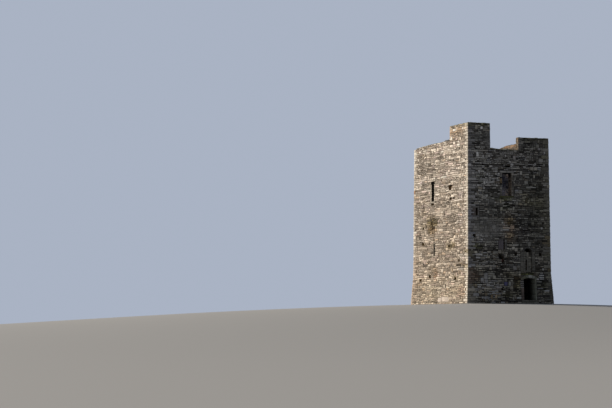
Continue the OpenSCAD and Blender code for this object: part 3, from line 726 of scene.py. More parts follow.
def add(t, kind, **vals):
    n = t.nodes.new(kind)
    for k, v in vals.items():
        if hasattr(n, k) and k not in n.inputs.keys():
            setattr(n, k, v)
        else:
            n.inputs[k].default_value = v
    return n


def ramp(t, src, stops):
    r = t.nodes.new("ShaderNodeValToRGB")
    r.color_ramp.elements[0].position, r.color_ramp.elements[0].color = stops[0][0], (*stops[0][1], 1)
    r.color_ramp.elements[1].position, r.color_ramp.elements[1].color = stops[-1][0], (*stops[-1][1], 1)
    for p, c in stops[1:-1]:
        e = r.color_ramp.elements.new(p)
        e.color = (*c, 1)
    t.links.new(src, r.inputs["Fac"])
    return r.outputs["Color"]


def mul(t, a, b, fac=1.0, mode="MULTIPLY"):
    n = t.nodes.new("ShaderNodeMix")
    n.data_type, n.blend_type = "RGBA", mode
    if hasattr(fac, "is_linked"):
        t.links.new(fac, n.inputs[0])
    else:
        n.inputs[0].default_value = fac
    for s, x in ((6, a), (7, b)):
        if hasattr(x, "is_linked"):
            t.links.new(x, n.inputs[s])
        else:
            n.inputs[s].default_value = (*x, 1)
    return n.outputs[2]


def grey(v):
    return (v, v, v)


def stone_material(name, rough=0.93, lichen=0.35, grain=1.0, bump=0.5):
    m, t, bsdf = nodes_of(name)
    L = t.links.new
    tc = add(t, "ShaderNodeTexCoord")
    col = add(t, "ShaderNodeAttribute", attribute_name="tint").outputs["Color"]
    big = add(t, "ShaderNodeTexNoise", Scale=0.9, Detail=5.0, Roughness=0.6)
    mid = add(t, "ShaderNodeTexNoise", Scale=9.0, Detail=6.0, Roughness=0.65)
    small = add(t, "ShaderNodeTexNoise", Scale=60.0, Detail=5.0, Roughness=0.7)
    spot = add(t, "ShaderNodeTexVoronoi", Scale=14.0)
    for n in (big, mid, small, spot):
        L(tc.outputs["Object"], n.inputs["Vector"])
    c = mul(t, col, ramp(t, big.outputs["Fac"], [(0.3, grey(0.80)), (0.7, grey(1.18))]), grain)
    c = mul(t, c, ramp(t, mid.outputs["Fac"], [(0.25, grey(0.62)), (0.5, grey(1.0)), (0.75, grey(1.28))]), grain)
    c = mul(t, c, ramp(t, small.outputs["Fac"], [(0.3, grey(0.80)), (0.7, grey(1.18))]), grain)
    pale = ramp(t, spot.outputs["Distance"], [(0.10, grey(1.0)), (0.30, grey(0.0))])
    where = ramp(t, mid.outputs["Fac"], [(0.52, grey(0.0)), (0.66, grey(1.0))])
    fac = mul(t, pale, where)
    fac = mul(t, fac, grey(lichen))
    c = mul(t, c, mul(t, c, grey(1.75), 1.0), fac, "MIX")
    L(c, bsdf.inputs["Base Color"])
    bsdf.inputs["Roughness"].default_value = rough
    bsdf.inputs["Specular IOR Level"].default_value = 0.25
    crack = add(t, "ShaderNodeTexVoronoi", feature="DISTANCE_TO_EDGE", Scale=7.0)
    wob = add(t, "ShaderNodeVectorMath", operation="ADD")
    L(tc.outputs["Object"], wob.inputs[0])
    off = add(t, "ShaderNodeVectorMath", operation="SCALE")
    L(mid.outputs["Color"], off.inputs[0])
    off.inputs["Scale"].default_value = 0.08
    L(off.outputs[0], wob.inputs[1])
    L(wob.outputs[0], crack.inputs["Vector"])
    ck = ramp(t, crack.outputs["Distance"], [(0.0, grey(0.55)), (0.06, grey(1.0))])
    h1 = mul(t, mid.outputs["Fac"], ck, 0.5)
    b1 = add(t, "ShaderNodeBump", Strength=bump, Distance=0.03)
    L(h1, b1.inputs["Height"])
    b2 = add(t, "ShaderNodeBump", Strength=bump * 0.7, Distance=0.006)
    L(small.outputs["Fac"], b2.inputs["Height"])
    L(b1.outputs["Normal"], b2.inputs["Normal"])
    L(b2.outputs["Normal"], bsdf.inputs["Normal"])
    return m


def core_material(name):
    """Mortar and hearting: buff on the side that faces -X, toward the key light, dark grey on the others, with faint
    courses. The difference between the sides is painted light and shade over the mortar's own colour.
    """
    m, t, bsdf = nodes_of(name)
    L = t.links.new
    tc = add(t, "ShaderNodeTexCoord")
    geo = add(t, "ShaderNodeNewGeometry")
    sep = add(t, "ShaderNodeSeparateXYZ")
    L(geo.outputs["Normal"], sep.inputs[0])
    side = add(t, "ShaderNodeMath", operation="MULTIPLY")
    L(sep.outputs["X"], side.inputs[0])
    side.inputs[1].default_value = -1.0
    key_light_side = ramp(t, side.outputs[0], [(0.5, grey(0.0)), (0.9, grey(1.0))])
    mid = add(t, "ShaderNodeTexNoise", Scale=6.0, Detail=7.0, Roughness=0.65)
    small = add(t, "ShaderNodeTexNoise", Scale=45.0, Detail=4.0, Roughness=0.7)
    cells = add(t, "ShaderNodeTexVoronoi", Scale=1.0, Randomness=0.9)
    edge = add(t, "ShaderNodeTexVoronoi", feature="DISTANCE_TO_EDGE", Scale=1.0, Randomness=0.9)
    mp = add(t, "ShaderNodeMapping")
    mp.inputs["Scale"].default_value = (2.6, 2.6, 5.8)
    wob = add(t, "ShaderNodeVectorMath", operation="ADD")
    off = add(t, "ShaderNodeVectorMath", operation="SCALE")
    off.inputs["Scale"].default_value = 0.10
    L(mid.outputs["Color"], off.inputs[0])
    L(tc.outputs["Object"], wob.inputs[0])
    L(off.outputs[0], wob.inputs[1])
    L(wob.outputs[0], mp.inputs["Vector"])
    L(mp.outputs[0], cells.inputs["Vector"])
    L(mp.outputs[0], edge.inputs["Vector"])
    for n in (mid, small):
        L(tc.outputs["Object"], n.inputs["Vector"])
    full = add(t, "ShaderNodeTexNoise", Scale=1.1, Detail=4.0, Roughness=0.6)
    L(tc.outputs["Object"], full.inputs["Vector"])
    # buff is painted light on faces toward the key light; dull is painted shade on every other face
    buff = ramp(t, full.outputs["Fac"], [(0.38, (0.050, 0.040, 0.031)), (0.66, (0.20, 0.165, 0.125))])
    dull = ramp(t, full.outputs["Fac"], [(0.40, (0.022, 0.021, 0.020)), (0.70, (0.075, 0.070, 0.062))])
    c = mul(t, dull, buff, key_light_side, "MIX")
    c = mul(t, c, ramp(t, cells.outputs["Color"], [(0.2, grey(0.75)), (0.8, grey(1.5))]))
    c = mul(t, c, ramp(t, mid.outputs["Fac"], [(0.25, grey(0.7)), (0.75, grey(1.3))]))
    c = mul(t, c, ramp(t, small.outputs["Fac"], [(0.3, grey(0.8)), (0.7, grey(1.2))]))
    ed = ramp(t, edge.outputs["Distance"], [(0.02, grey(0.45)), (0.09, grey(1.0))])
    c = mul(t, c, ed)
    L(c, bsdf.inputs["Base Color"])
    bsdf.inputs["Roughness"].default_value = 0.96
    bsdf.inputs["Specular IOR Level"].default_value = 0.15
    b1 = add(t, "ShaderNodeBump", Strength=0.8, Distance=0.04)
    L(mul(t, ed, mid.outputs["Fac"], 0.4), b1.inputs["Height"])
    b2 = add(t, "ShaderNodeBump", Strength=0.5, Distance=0.01)
    L(small.outputs["Fac"], b2.inputs["Height"])
    L(b1.outputs["Normal"], b2.inputs["Normal"])
    L(b2.outputs["Normal"], bsdf.inputs["Normal"])
    return m


def wood_material(name, use_tint):
    m, t, bsdf = nodes_of(name)
    L = t.links.new
    tc = add(t, "ShaderNodeTexCoord")
    mp = add(t, "ShaderNodeMapping")
    mp.inputs["Scale"].default_value = (14.0, 1.2, 14.0) if use_tint else (1.2, 14.0, 14.0)
    L(tc.outputs["Object"], mp.inputs["Vector"])
    grain = add(t, "ShaderNodeTexNoise", Scale=1.0, Detail=8.0, Roughness=0.7)
    L(mp.outputs[0], grain.inputs["Vector"])
    big = add(t, "ShaderNodeTexNoise", Scale=2.0, Detail=4.0)
    L(tc.outputs["Object"], big.inputs["Vector"])
    c = ramp(t, grain.outputs["Fac"], [(0.3, (0.055, 0.045, 0.036)), (0.55, (0.135, 0.115, 0.095)), (0.75, (0.22, 0.195, 0.165))])
    if use_tint:
        c = mul(t, c, add(t, "ShaderNodeAttribute", attribute_name="tint").outputs["Color"])
    c = mul(t, c, ramp(t, big.outputs["Fac"], [(0.3, grey(0.75)), (0.7, grey(1.25))]))
    L(c, bsdf.inputs["Base Color"])
    bsdf.inputs["Roughness"].default_value = 0.85
    b = add(t, "ShaderNodeBump", Strength=0.6, Distance=0.006)
    L(grain.outputs["Fac"], b.inputs["Height"])
    L(b.outputs["Normal"], bsdf.inputs["Normal"])
    return m


rubble = stone_material("rubble_stone")
dressed = stone_material("dressed_stone", lichen=0.25, bump=0.35)
flags = stone_material("flag_stone", lichen=0.5, bump=0.4)
core = core_material("mortar_and_hearting")
beam_wood = wood_material("beam_oak", False)
board_wood = wood_material("board_oak", True)
slate, t, bsdf = nodes_of("slate")
n = add(t, "ShaderNodeTexNoise", Scale=8.0, Detail=7.0)
t.links.new(add(t, "ShaderNodeTexCoord").outputs["Object"], n.inputs["Vector"])
t.links.new(ramp(t, n.outputs["Fac"], [(0.3, (0.018, 0.019, 0.022)), (0.7, (0.055, 0.056, 0.06))]), bsdf.inputs["Base Color"])
bsdf.inputs["Roughness"].default_value = 0.7
b = add(t, "ShaderNodeBump", Strength=0.5, Distance=0.01)
t.links.new(n.outputs["Fac"], b.inputs["Height"])
t.links.new(b.outputs["Normal"], bsdf.inputs["Normal"])

for name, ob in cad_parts.items():
    m = core
    if "beams" in name:
        m = beam_wood
    elif name == "coping_slab":
        m = slate
    ob.data.materials.clear()
    ob.data.materials.append(m)

# ------------------------------------------------------------------ corner stones
quoins = {k: [] for k in ("fl", "fr", "br", "bl")}  # (z0, z1, length on the first wall, length on the second)


def corner_courses(key, seed, top, low, high):
    rng = random.Random(seed)
    k, flip = 0, rng.random() < 0.5
    while k < len(ROWS):
        want = rng.uniform(low, high)
        z0, z1 = ROWS[k][0], ROWS[k][1]
        k += 1
        while k < len(ROWS) and (ROWS[k][1] - z0) < want:
            z1 = ROWS[k][1]
            k += 1
        if z0 >= top - 0.02:
            break
        a, b = rng.uniform(0.44, 0.76), rng.uniform(0.24, 0.38)
        quoins[key].append((z0, z1, a, b) if flip else (z0, z1, b, a))
        flip = not flip


# first wall's right end meets the second wall's left end
corner_courses("fl", 5, TUR, 0.15, 0.30)      # left, front
corner_courses("fr", 6, BLOCK, 0.20, 0.40)    # front, right
corner_courses("br", 7, SIDE - 0.3, 0.22, 0.42)     # right, back
corner_courses("bl", 8, SIDE - 0.27, 0.20, 0.40)     # back, left


def reach(key, z, second):
    for z0, z1, a, b in quoins[key]:
        if z0 <= z < z1:
            return b if second else a
    return 0.35


def half(face, z):
    return hx(z) if face in ("front", "back") else hy(z)


FACES = {
    # face: plane, the corner at its left end, the corner at its right end
    "left": (left, "bl", "fl"),
    "front": (front, "fl", "fr"),
    "right": (right, "fr", "br"),
    "back": (back, "br", "bl"),
}

def quoin_colours(key, z, rng):
    """A corner stone's colour on the first wall and on the second. At the front-left and back-left corners the side on
    the left wall is lighter than the same stone's other side: partly painted light.
    """
    if key == "fl":
        c = vary(rng, mix((0.53, 0.475, 0.405), (0.645, 0.59, 0.51), rng.random()), 0.08)
        # The stone's front side is darker than its left side: partly painted shade.
        d = vary(rng, (0.27, 0.27, 0.275), 0.35)
        if 6.98 < z < 7.8 or 5.33 < z < 5.86 or 2.92 < z < 3.27:
            d = vary(rng, (0.38, 0.39, 0.43), 0.2)
        elif 3.8 < z < 4.45:
            d = vary(rng, (0.20, 0.19, 0.15), 0.25)
        elif 1.6 < z < 2.92:
            d = vary(rng, (0.20, 0.165, 0.14), 0.25)
        elif z < 1.6:
            d = vary(rng, (0.29, 0.275, 0.24), 0.3)
        elif 9.6 < z < 11.6:
            d = dim(d, 1.25)
        if 4.20 < z < 4.50 or 3.02 < z < 3.30:
            c = vary(rng, mix((0.24, 0.19, 0.10), (0.40, 0.35, 0.27), rng.random()), 0.15)
        if z > TUR - 0.35:
            c = mix(c, (0.30, 0.26, 0.17), 0.6)
            d = mix(d, (0.12, 0.13, 0.06), 0.6)
        return c, d
    if key == "bl":
        if 11.7 < z < 13.6 or 5.9 < z < 6.45:
            c = vary(rng, (0.66, 0.61, 0.53), 0.1)
        elif 9.75 < z < 10.1:
            c = vary(rng, (0.33, 0.20, 0.12), 0.12)
        elif z < 4:
            c = vary(rng, mix((0.42, 0.32, 0.235), (0.50, 0.42, 0.345), rng.random()), 0.14)
        else:
            c = vary(rng, mix((0.40, 0.34, 0.27), (0.60, 0.54, 0.46), rng.random()), 0.15)
        # Its back side is the same colour dimmed; the lighter left side is partly painted light.
        return dim(c, 0.7), c
    if key == "fr":
        c = vary(rng, mix((0.16, 0.155, 0.12), (0.22, 0.215, 0.20), rng.random()), 0.25)
        if 4.8 < z < 5.6 or 2.7 < z < 3.1:
            c = vary(rng, (0.20, 0.175, 0.12), 0.15)
        return c, c
    c = vary(rng, mix((0.24, 0.23, 0.21), (0.36, 0.34, 0.31), rng.random()), 0.22)
    return c, c


def corner_stone(fld, pa, ha, pb, hb, z0, z1, a, b, col, rng, seam=0.008, proud=0.03, col2=None):
    """A stone that wraps a corner: a is its length on the first wall and b on the second."""
    e = 0.022
    nu = max(1, int(a / 0.22))
    nv = max(1, int(b / 0.22))
    S = [("a", a - seam)] + [("a", a - seam - e)] + [("a", lerp(a - e, 0.05, i / nu)) for i in range(1, nu)] + [("a", 0.03), ("c", 0.0), ("b", 0.03)] + \
        [("b", lerp(0.05, b - e, i / nv)) for i in range(1, nv)] + [("b", b - seam - e), ("b", b - seam)]
    h = z1 - z0
    T = [z0 + seam, z0 + seam + e] + ([lerp(z0, z1, 0.5) + rng.uniform(-.02, .02)] if h > 0.22 else []) + [z1 - seam - e, z1 - seam]
    p = proud * rng.uniform(0.7, 1.2)
    base, m, k = len(fld.v), len(S), len(T)
    col2 = col2 or col
    for j, z in enumerate(T):
        for i, (side, d) in enumerate(S):
            rim = i in (0, m - 1) or j in (0, k - 1)
            n = p - 0.014 if rim else p + rng.uniform(-0.004, 0.005)
            d += rng.uniform(-0.006, 0.006) if side != "c" and not (i in (0, m - 1)) else 0
            zz = z + (rng.uniform(-0.005, 0.005) if not rim else rng.uniform(0, 0.006) * (1 if j == 0 else -1 if j == k - 1 else 0))
            if side == "a":
                q = pa(ha(z) - d, zz, n)
            elif side == "b":
                q = pb(-hb(z) + d, zz, n)
            else:
                n -= rng.uniform(0.008, 0.018)
                q = pa(ha(z) + n, zz, n)
            fld.v.append(q)
            c = col if side == "a" else mix(col, col2, 0.5) if side == "c" else col2
            # The rim is painted darker: partly edge wear, partly painted shade at the joints.
            fld.c.append(tuple(x * (0.72 if rim else 1.0) for x in c))
    for j in range(k - 1):
        for i in range(m - 1):
            q = base + j * m + i
            fld.f.append((q, q + 1, q + m + 1, q + m))
    ring = [(i, 0) for i in range(m - 1)] + [(m - 1, j) for j in range(k - 1)] + \
           [(i, k - 1) for i in range(m - 1, 0, -1)] + [(0, j) for j in range(k - 1, 0, -1)]
    low = len(fld.v)
    for i, j in ring:
        side, d = S[i]
        z = T[j]
        n = -0.03
        q = pa(ha(z) - d, z, n) if side == "a" else pb(-hb(z) + d, z, n) if side == "b" else pa(ha(z) + n, z, n)
        fld.v.append(q)
        # The skirt down into the joint is painted shade.
        fld.c.append(tuple(x * 0.35 for x in (col if side == "a" else col2)))
    r = len(ring)
    for q in range(r):
        x, y = ring[q], ring[(q + 1) % r]
        fld.f.append((low + q, low + (q + 1) % r, base + y[1] * m + y[0], base + x[1] * m + x[0]))


corner = {"fl": Field("quoins_front_left"), "fr": Field("quoins_front_right"), "br": Field("quoins_back_right"), "bl": Field("quoins_back_left")}
for (fa, fb, key) in (("left", "front", "fl"), ("front", "right", "fr"), ("right", "back", "br"), ("back", "left", "bl")):
    rng = random.Random("q" + key)
    for z0, z1, a, b in quoins[key]:
        col, col2 = quoin_colours(key, (z0 + z1) / 2, rng)
        corner_stone(corner[key], FACES[fa][0], lambda z, f=fa: half(f, z), FACES[fb][0], lambda z, f=fb: half(f, z),
                     z0, z1, a, b, col, rng, col2=col2)

# ------------------------------------------------------------------ recesses of the walls: centre along, centre up, width, height
RECESS = {
    "front": [(-0.785, 1.17, .16, .17), (.56, 4.09, .22, .20), (2.84, 4.11, .23, .21), (-3.25, 5.58, .24, .22), (-.775, 3.08, .18, .17),
              (-.11, 11.41, .50, .15), (2.83, 11.50, .56, .11), (1.99, 11.53, .42, .08), (-2.36, 11.48, .26, .10), (2.88, 11.66, .64, .08)],
    "left": [(1.985, 9.66, .43, .21), (2.03, 9.865, .70, .21), (-1.49, 8.55, .48, .17), (2.12, 8.82, .36, .19), (2.75, 8.825, .30, .12),
             (-3.37, 6.56, .28, .20), (-1.60, 6.90, .30, .15), (-3.42, 5.19, .48, .22), (1.85, 4.85, .30, .15), (3.75, 3.60, .32, .17),
             (3.76, 3.20, .82, .09), (-3.88, 2.11, .44, .19), (-1.95, 2.36, .32, .25), (3.10, 2.09, .34, .20)],
    "right": [], "back": [],
}
# single stones that stand out: u0, u1, z0, z1, colour
SINGLE = {
    "front": [
        (-2.60, -2.37, 14.50, 14.70, (0.85, 0.85, 0.83)), (-2.64, -2.47, 13.95, 14.08, (0.50, 0.50, 0.47)),
        (-3.02, -2.76, 12.06, 12.62, (0.68, 0.68, 0.67)), (-1.82, -1.55, 11.32, 11.44, (0.78, 0.78, 0.76)),
        (1.95, 2.30, 11.22, 11.45, (0.33, 0.315, 0.28)), (2.32, 2.66, 11.22, 11.40, (0.40, 0.385, 0.345)),
        (-3.15, -2.92, 8.93, 9.12, (0.44, 0.44, 0.44)), (-3.20, -2.95, 8.35, 8.55, (0.36, 0.36, 0.36)),
        (-2.22, -2.02, 10.42, 10.56, (0.66, 0.66, 0.65)),
        (-2.40, -2.20, 9.92, 10.10, (0.60, 0.60, 0.59)), (-2.12, -1.80, 9.82, 9.95, (0.56, 0.56, 0.55)),
        (2.90, 3.10, 6.24, 6.40, (0.62, 0.62, 0.60)), (-2.22, -1.96, 8.86, 9.0, (0.50, 0.50, 0.49)), (3.0, 3.2, 2.86, 2.99, (0.50, 0.50, 0.49)),
        (3.13, 3.62, 1.07, 1.20, (0.80, 0.80, 0.80)), (-0.56, -0.24, 1.52, 1.71, (0.15, 0.15, 0.29)),
        (-0.17, 0.06, 1.52, 1.71, (0.40, 0.40, 0.37)), (-3.46, -2.90, 0.60, 0.86, (0.36, 0.36, 0.365)),
        (-2.72, -2.40, 1.70, 2.12, (0.37, 0.37, 0.375)), (-2.38, -2.05, 1.96, 2.50, (0.35, 0.35, 0.355)),
        (-2.34, -2.02, 1.56, 1.94, (0.31, 0.31, 0.31)), (2.72, 2.98, 12.92, 13.08, (0.36, 0.35, 0.36)),
    ],
    "left": [
        (-0.10, 0.85, 0.10, 0.50, (0.52, 0.45, 0.39)), (0.87, 2.05, 0.10, 0.50, (0.49, 0.425, 0.365)), (2.55, 3.15, 14.44, 14.60, (0.76, 0.72, 0.65)),
        (4.22, 4.50, 14.38, 14.60, (0.74, 0.68, 0.59)), (-1.35, -0.95, 10.68, 10.9, (0.72, 0.67, 0.59)), (2.05, 2.42, 13.74, 13.94, (0.80, 0.76, 0.69)),
        (3.4, 3.75, 13.48, 13.60, (0.72, 0.68, 0.61)), (3.3, 3.95, 13.20, 13.32, (0.70, 0.66, 0.59)), (0.2, 0.70, 12.85, 13.05, (0.68, 0.63, 0.56)),
        (-5.0, -4.55, 12.95, 13.25, (0.74, 0.69, 0.61)),
    ],
    "right": [], "back": [],
}
# the same, for thin slabs that keep their own height within a course
THIN = {
    "front": [
        # The near-black slabs are painted shadow in the gaps between slabs; the near-white ones are partly pale stone
        # and partly painted highlight.
        (2.72, 3.19, 2.325, 2.405, (0.85, 0.85, 0.85)), (2.72, 3.19, 2.25, 2.32, (0.01, 0.01, 0.01)), (2.71, 3.18, 2.165, 2.24, (0.90, 0.90, 0.90)),
        (2.72, 3.18, 2.10, 2.16, (0.01, 0.01, 0.01)), (2.74, 3.17, 2.025, 2.095, (0.80, 0.80, 0.80)), (2.74, 3.17, 1.95, 2.02, (0.02, 0.02, 0.02)),
        (2.80, 3.10, 2.47, 2.535, (0.60, 0.60, 0.60)), (2.76, 3.17, 2.41, 2.465, (0.01, 0.01, 0.01)), (2.50, 3.05, 1.24, 1.31, (0.44, 0.43, 0.47)),
        (2.47, 3.0, 1.62, 1.70, (0.05, 0.05, 0.045)), (2.47, 2.95, 1.78, 1.86, (0.40, 0.40, 0.38)), (3.15, 3.7, 1.24, 1.30, (0.02, 0.02, 0.02)),
        (-0.24, 0.06, 8.43, 8.53, (0.012, 0.014, 0.008)), (-0.48, -0.10, 8.18, 8.28, (0.012, 0.014, 0.008)), (-0.26, 0.06, 7.96, 8.06, (0.012, 0.014, 0.008)),
        (0.26, 0.64, 8.51, 8.60, (0.62, 0.62, 0.60)), (-0.06, 0.28, 8.25, 8.34, (0.56, 0.56, 0.52)), (-0.70, -0.36, 8.34, 8.43, (0.48, 0.48, 0.44)),
        (-0.62, -0.20, 8.08, 8.17, (0.50, 0.50, 0.45)), (1.60, 2.55, 9.66, 9.75, (0.42, 0.42, 0.40)), (0.55, 1.25, 9.20, 9.28, (0.42, 0.42, 0.40)),
        (-2.9, -2.2, 3.30, 3.38, (0.44, 0.44, 0.43)), (-1.75, -1.15, 1.80, 1.88, (0.48, 0.48, 0.48)), (-2.2, -1.5, 1.42, 1.50, (0.46, 0.46, 0.46)),
        (-1.3, -0.75, 1.28, 1.36, (0.50, 0.48, 0.47)), (-3.3, -2.6, 1.15, 1.23, (0.42, 0.42, 0.42)), (-2.0, -1.1, 0.95, 1.03, (0.44, 0.44, 0.44)),
        (-1.9, -1.3, 3.05, 3.13, (0.42, 0.42, 0.41)), (0.9, 1.2, 1.62, 1.70, (0.30, 0.29, 0.27)), (-3.1, -2.5, 5.02, 5.10, (0.40, 0.40, 0.40)),
        (0.8, 1.5, 7.75, 7.83, (0.36, 0.36, 0.34)), (0.2, 0.8, 7.42, 7.50, (0.40, 0.39, 0.37)),
        (-3.5, -2.8, 10.02, 10.11, (0.44, 0.44, 0.44)), (-2.7, -1.9, 10.24, 10.32, (0.44, 0.44, 0.44)), (-3.4, -2.5, 11.12, 11.21, (0.46, 0.46, 0.46)),
        (-1.6, -1.0, 11.16, 11.25, (0.48, 0.48, 0.48)), (0.5, 1.3, 11.58, 11.66, (0.42, 0.42, 0.41)), (-1.4, -0.7, 11.90, 11.99, (0.42, 0.42, 0.42)),
    ],
    "left": [], "right": [], "back": [],
}
DOOR = (1.24, 2.36, 0.30, 2.02)
LOOP = 1.445
holes = {
    "front": [
        (0.99, 2.61, 0.0, 0.30), (0.99, 2.43, 0.30, 2.07), (0.99, 2.61, 2.07, 2.50), (0.99, 2.37, 2.64, 4.80), (-1.04, -0.26, 4.48, 5.31), (-1.02, -0.55, 3.69, 4.15), (-0.72, -0.53, 3.28, 3.69),
        (-0.53, 0.20, 3.58, 3.69), (-3.40, -2.75, 7.12, 8.05), (-0.84, 0.46, 8.80, 11.04), (-3.60, -2.62, 11.45, 11.55), (-1.72, -0.50, 11.45, 11.55),
        (TX, BX, LOW - 0.02, 99), (BX, 99, BLOCK - 0.02, 99),
    ],
    "left": [
        (-1.28, -0.94, 4.00, 5.31), (-1.14, -1.08, 5.31, 5.75), (-LOOP - 0.53, -LOOP + 0.53, 8.67, 10.66), (-99, -TY, SIDE - 0.02, 99), (-99, -5.1, 13.62, 99),
    ],
    "right": [
        (-1.28, -0.94, 4.00, 5.31), (-LOOP - 0.53, -LOOP + 0.53, 8.67, 10.66), (2.02, 2.38, 7.12, 8.05), (-99, 1.7, RSIDE - 0.05, 99),
        (1.7, 2.9, RSIDE - 0.2, 99), (2.9, 99, RSIDE - 0.33, 99),
    ],
    "back": [
        (-0.68, -0.32, 4.33, 5.48), (-0.84, 0.46, 8.80, 11.04), (1.32, 1.68, 7.12, 8.05), (-1.25, 1.25, LOW, 99), (-99, -1.25, SIDE - 0.28, 99),
        (1.25, 99, SIDE - 0.15, 99),
    ],
}
pits = {f: [(cu - w / 2, cu + w / 2, cz - h / 2, cz + h / 2) for cu, cz, w, h in places] for f, places in RECESS.items()}
JOINT = {"front": 0.0125, "left": 0.0105, "right": 0.009, "back": 0.009}

PAINT = {"front": paint_front, "left": paint_left, "right": paint_grey, "back": paint_grey}
skins = {}
for f, (plane, lk, rk) in FACES.items():
    rng = random.Random("lay" + f)
    H = half(f, 5)
    warp = make_warp("w" + f, holes[f] + pits[f], H, 12.6 if f == "front" else 13.5)
    single = []
    for a, b, c, d, col in SINGLE[f]:
        c = snap(c)
        d = snap(d)
        if d <= c:
            k = row_at(c + 0.01)
            d = ROWS[k][1]
        single.append((a, b, c, d, col))
    for tag, rows in (("low", [r for r in ROWS if r[1] <= 7.13]), ("high", [r for r in ROWS if r[1] > 7.13])):
        if f in ("right", "back"):
            if tag == "high":
                continue
            rows, tag = ROWS, "all"
        fld = Field("stones_%s_%s" % (f, tag))
        lay(fld, plane, rows,
            lambda z, f=f, k=lk: -half(f, z) + reach(k, z, True),
            lambda z, f=f, k=rk: half(f, z) - reach(k, z, False),
            holes[f] + [x[:4] for x in single], PAINT[f], rng, size=0.22 if f == "front" else 0.40 if f == "left" else 0.29,
            warp=warp, fine=f in ("front", "left"), joint=JOINT[f], sharp=pits[f] + [x[:4] for x in THIN[f]], gap=gap_front if f == "front" else None,
            bed=bed_front if f == "front" else beds_left, split=0.42 if f == "front" else 0.34 if f == "left" else 0.16)
        for a, b, c, d, col in single:
            if rows[0][0] - 0.01 < c and d < rows[-1][1] + 0.01:
                stone(fld, plane, [(a + .008, c + .008), (b - .008, c + .008), (b - .008, d - .008), (a + .008, d - .008)], vary(rng, col, 0.05), rng, 0.028, 0.03, warp)
        for a, b, c, d, col in THIN[f]:
            if rows[0][0] - 0.01 < c and d < rows[-1][1] + 0.01:
                stone(fld, plane, [(a + .008, c), (b - .008, c), (b - .008, d), (a + .008, d)], vary(rng, col, 0.08), rng, 0.03, 0.02, warp)
        skins[f + tag] = fld

# ------------------------------------------------------------------ dressed stones of the openings
trim = Field("opening_stones")


def stacks(z0, z1, low, high, rng):
    """Courses gathered into taller stones."""
    rows = [r for r in ROWS if r[0] >= z0 - 1e-3 and r[1] <= z1 + 1e-3]
    groups, i = [], 0
    while i < len(rows):
        a, b = rows[i]
        want = rng.uniform(low, high)
        i += 1
        while i < len(rows) and rows[i][1] - a < want:
            b = rows[i][1]
            i += 1
        groups.append((a, b))
    return groups


def reveal_dark(col, deep, face):
    """A stone's colour that takes the colour deep on the face at i = face, away from the front, mixed a little with its
    own colour at the front edge. Where deep is dark, it is painted shade in the reveal.
    """
    def put(i, j, k):
        if abs(i - face) > 0.01:
            return col
        return mix(deep, col, 0.35 if k > 0.99 else 0.0)
    return put


def jambs(plane, u0, u1, z0, z1, width, depth, col, rng, sides=(0, 1), low=0.16, high=0.36, sd=0.2, deep=None, back=0.012):
    """Alternating jamb stones beside an opening, wrapping into its reveals."""
    for side in sides:
        flip = rng.random() < 0.5
        for a, b in stacks(z0, z1, low, high, rng):
            w = width * (1.0 if flip else rng.uniform(0.6, 0.75))
            c = vary(rng, col, sd)
            # deep, where given, colours the reveal face; its dark values are painted shade.
            if deep:
                c = reveal_dark(c, deep, 1.0 if side == 0 else 0.0)
            d = depth * rng.uniform(0.75, 1.0)
            n = 0.03 * rng.uniform(0.6, 1.2)
            if side == 0:
                brick(trim, plane, u0 - w, u0 + back, a, b, -d, n, c, rng, edge=0.02, segs=(2, 1, 2))
                if w < width - 0.05:
                    brick(trim, plane, u0 - width, u0 - w, a, b, -0.05, n * 0.8, vary(rng, col, sd), rng, edge=0.02)
            else:
                brick(trim, plane, u1 - back, u1 + w, a, b, -d, n, c, rng, edge=0.02, segs=(2, 1, 2))
                if w < width - 0.05:
                    brick(trim, plane, u1 + w, u1 + width, a, b, -0.05, n * 0.8, vary(rng, col, sd), rng, edge=0.02)
            flip = not flip


def reveals(side, at, lo, hi, z0, z1, col, rng, low=0.14, high=0.32, sd=0.15):
    """Coursed stones on a reveal, behind the jamb stones."""
    pl = facing(side, at)
    for a, b in stacks(z0, z1, low, high, rng):
        m = lerp(lo, hi, rng.uniform(0.35, 0.65))
        for p, q in ((lo, m), (m, hi)):
            stone(trim, pl, [(p + .006, a + .006), (q - .006, a + .006), (q - .006, b - .006), (p + .006, b - .006)], vary(rng, col, sd), rng, 0.012, 0.02)


rng = random.Random("trim")
# BUFF_D is for the left wall's dressed stones and GREY_D for the others; the left wall's lighter colour is partly
# painted light, as for its rubble.
GREY_D = (0.27, 0.265, 0.255)
BUFF_D = (0.45, 0.40, 0.335)

# doorway: on its left thin pale layers over bigger brown stones, on its right smooth tall stones that run through the wall
# The lower left stones' reveal faces take a near-black colour: painted shade.
for a, b in stacks(0.30, 1.29, 0.2, 0.34, rng):
    brick(trim, front, 0.99, DOOR[0] + 0.012, a, b, -0.47, 0.03, reveal_dark(vary(rng, (0.185, 0.15, 0.13), 0.2), (0.05, 0.045, 0.04), 1.0), rng, edge=0.02, segs=(2, 1, 2))
z, pale = 1.29, True
while z < 1.95:
    h = min(rng.uniform(0.065, 0.10), 1.96 - z)
    if 1.96 - z - h < 0.04:
        h = 1.96 - z
    brick(trim, front, 0.99 - rng.uniform(0, 0.06), DOOR[0] + 0.012 - rng.uniform(0, 0.02), z, z + h, -0.47, 0.03 + rng.uniform(-0.01, 0.012),
          vary(rng, (0.44, 0.43, 0.41) if pale else (0.13, 0.12, 0.11), 0.15), rng, edge=0.015, segs=(2, 1, 2))
    z, pale = z + h, not pale
brick(trim, front, 0.99, DOOR[0] + 0.012, 1.96, 2.12, -0.47, 0.03, (0.20, 0.19, 0.15), rng, edge=0.02, segs=(2, 1, 2))
z = 0.30
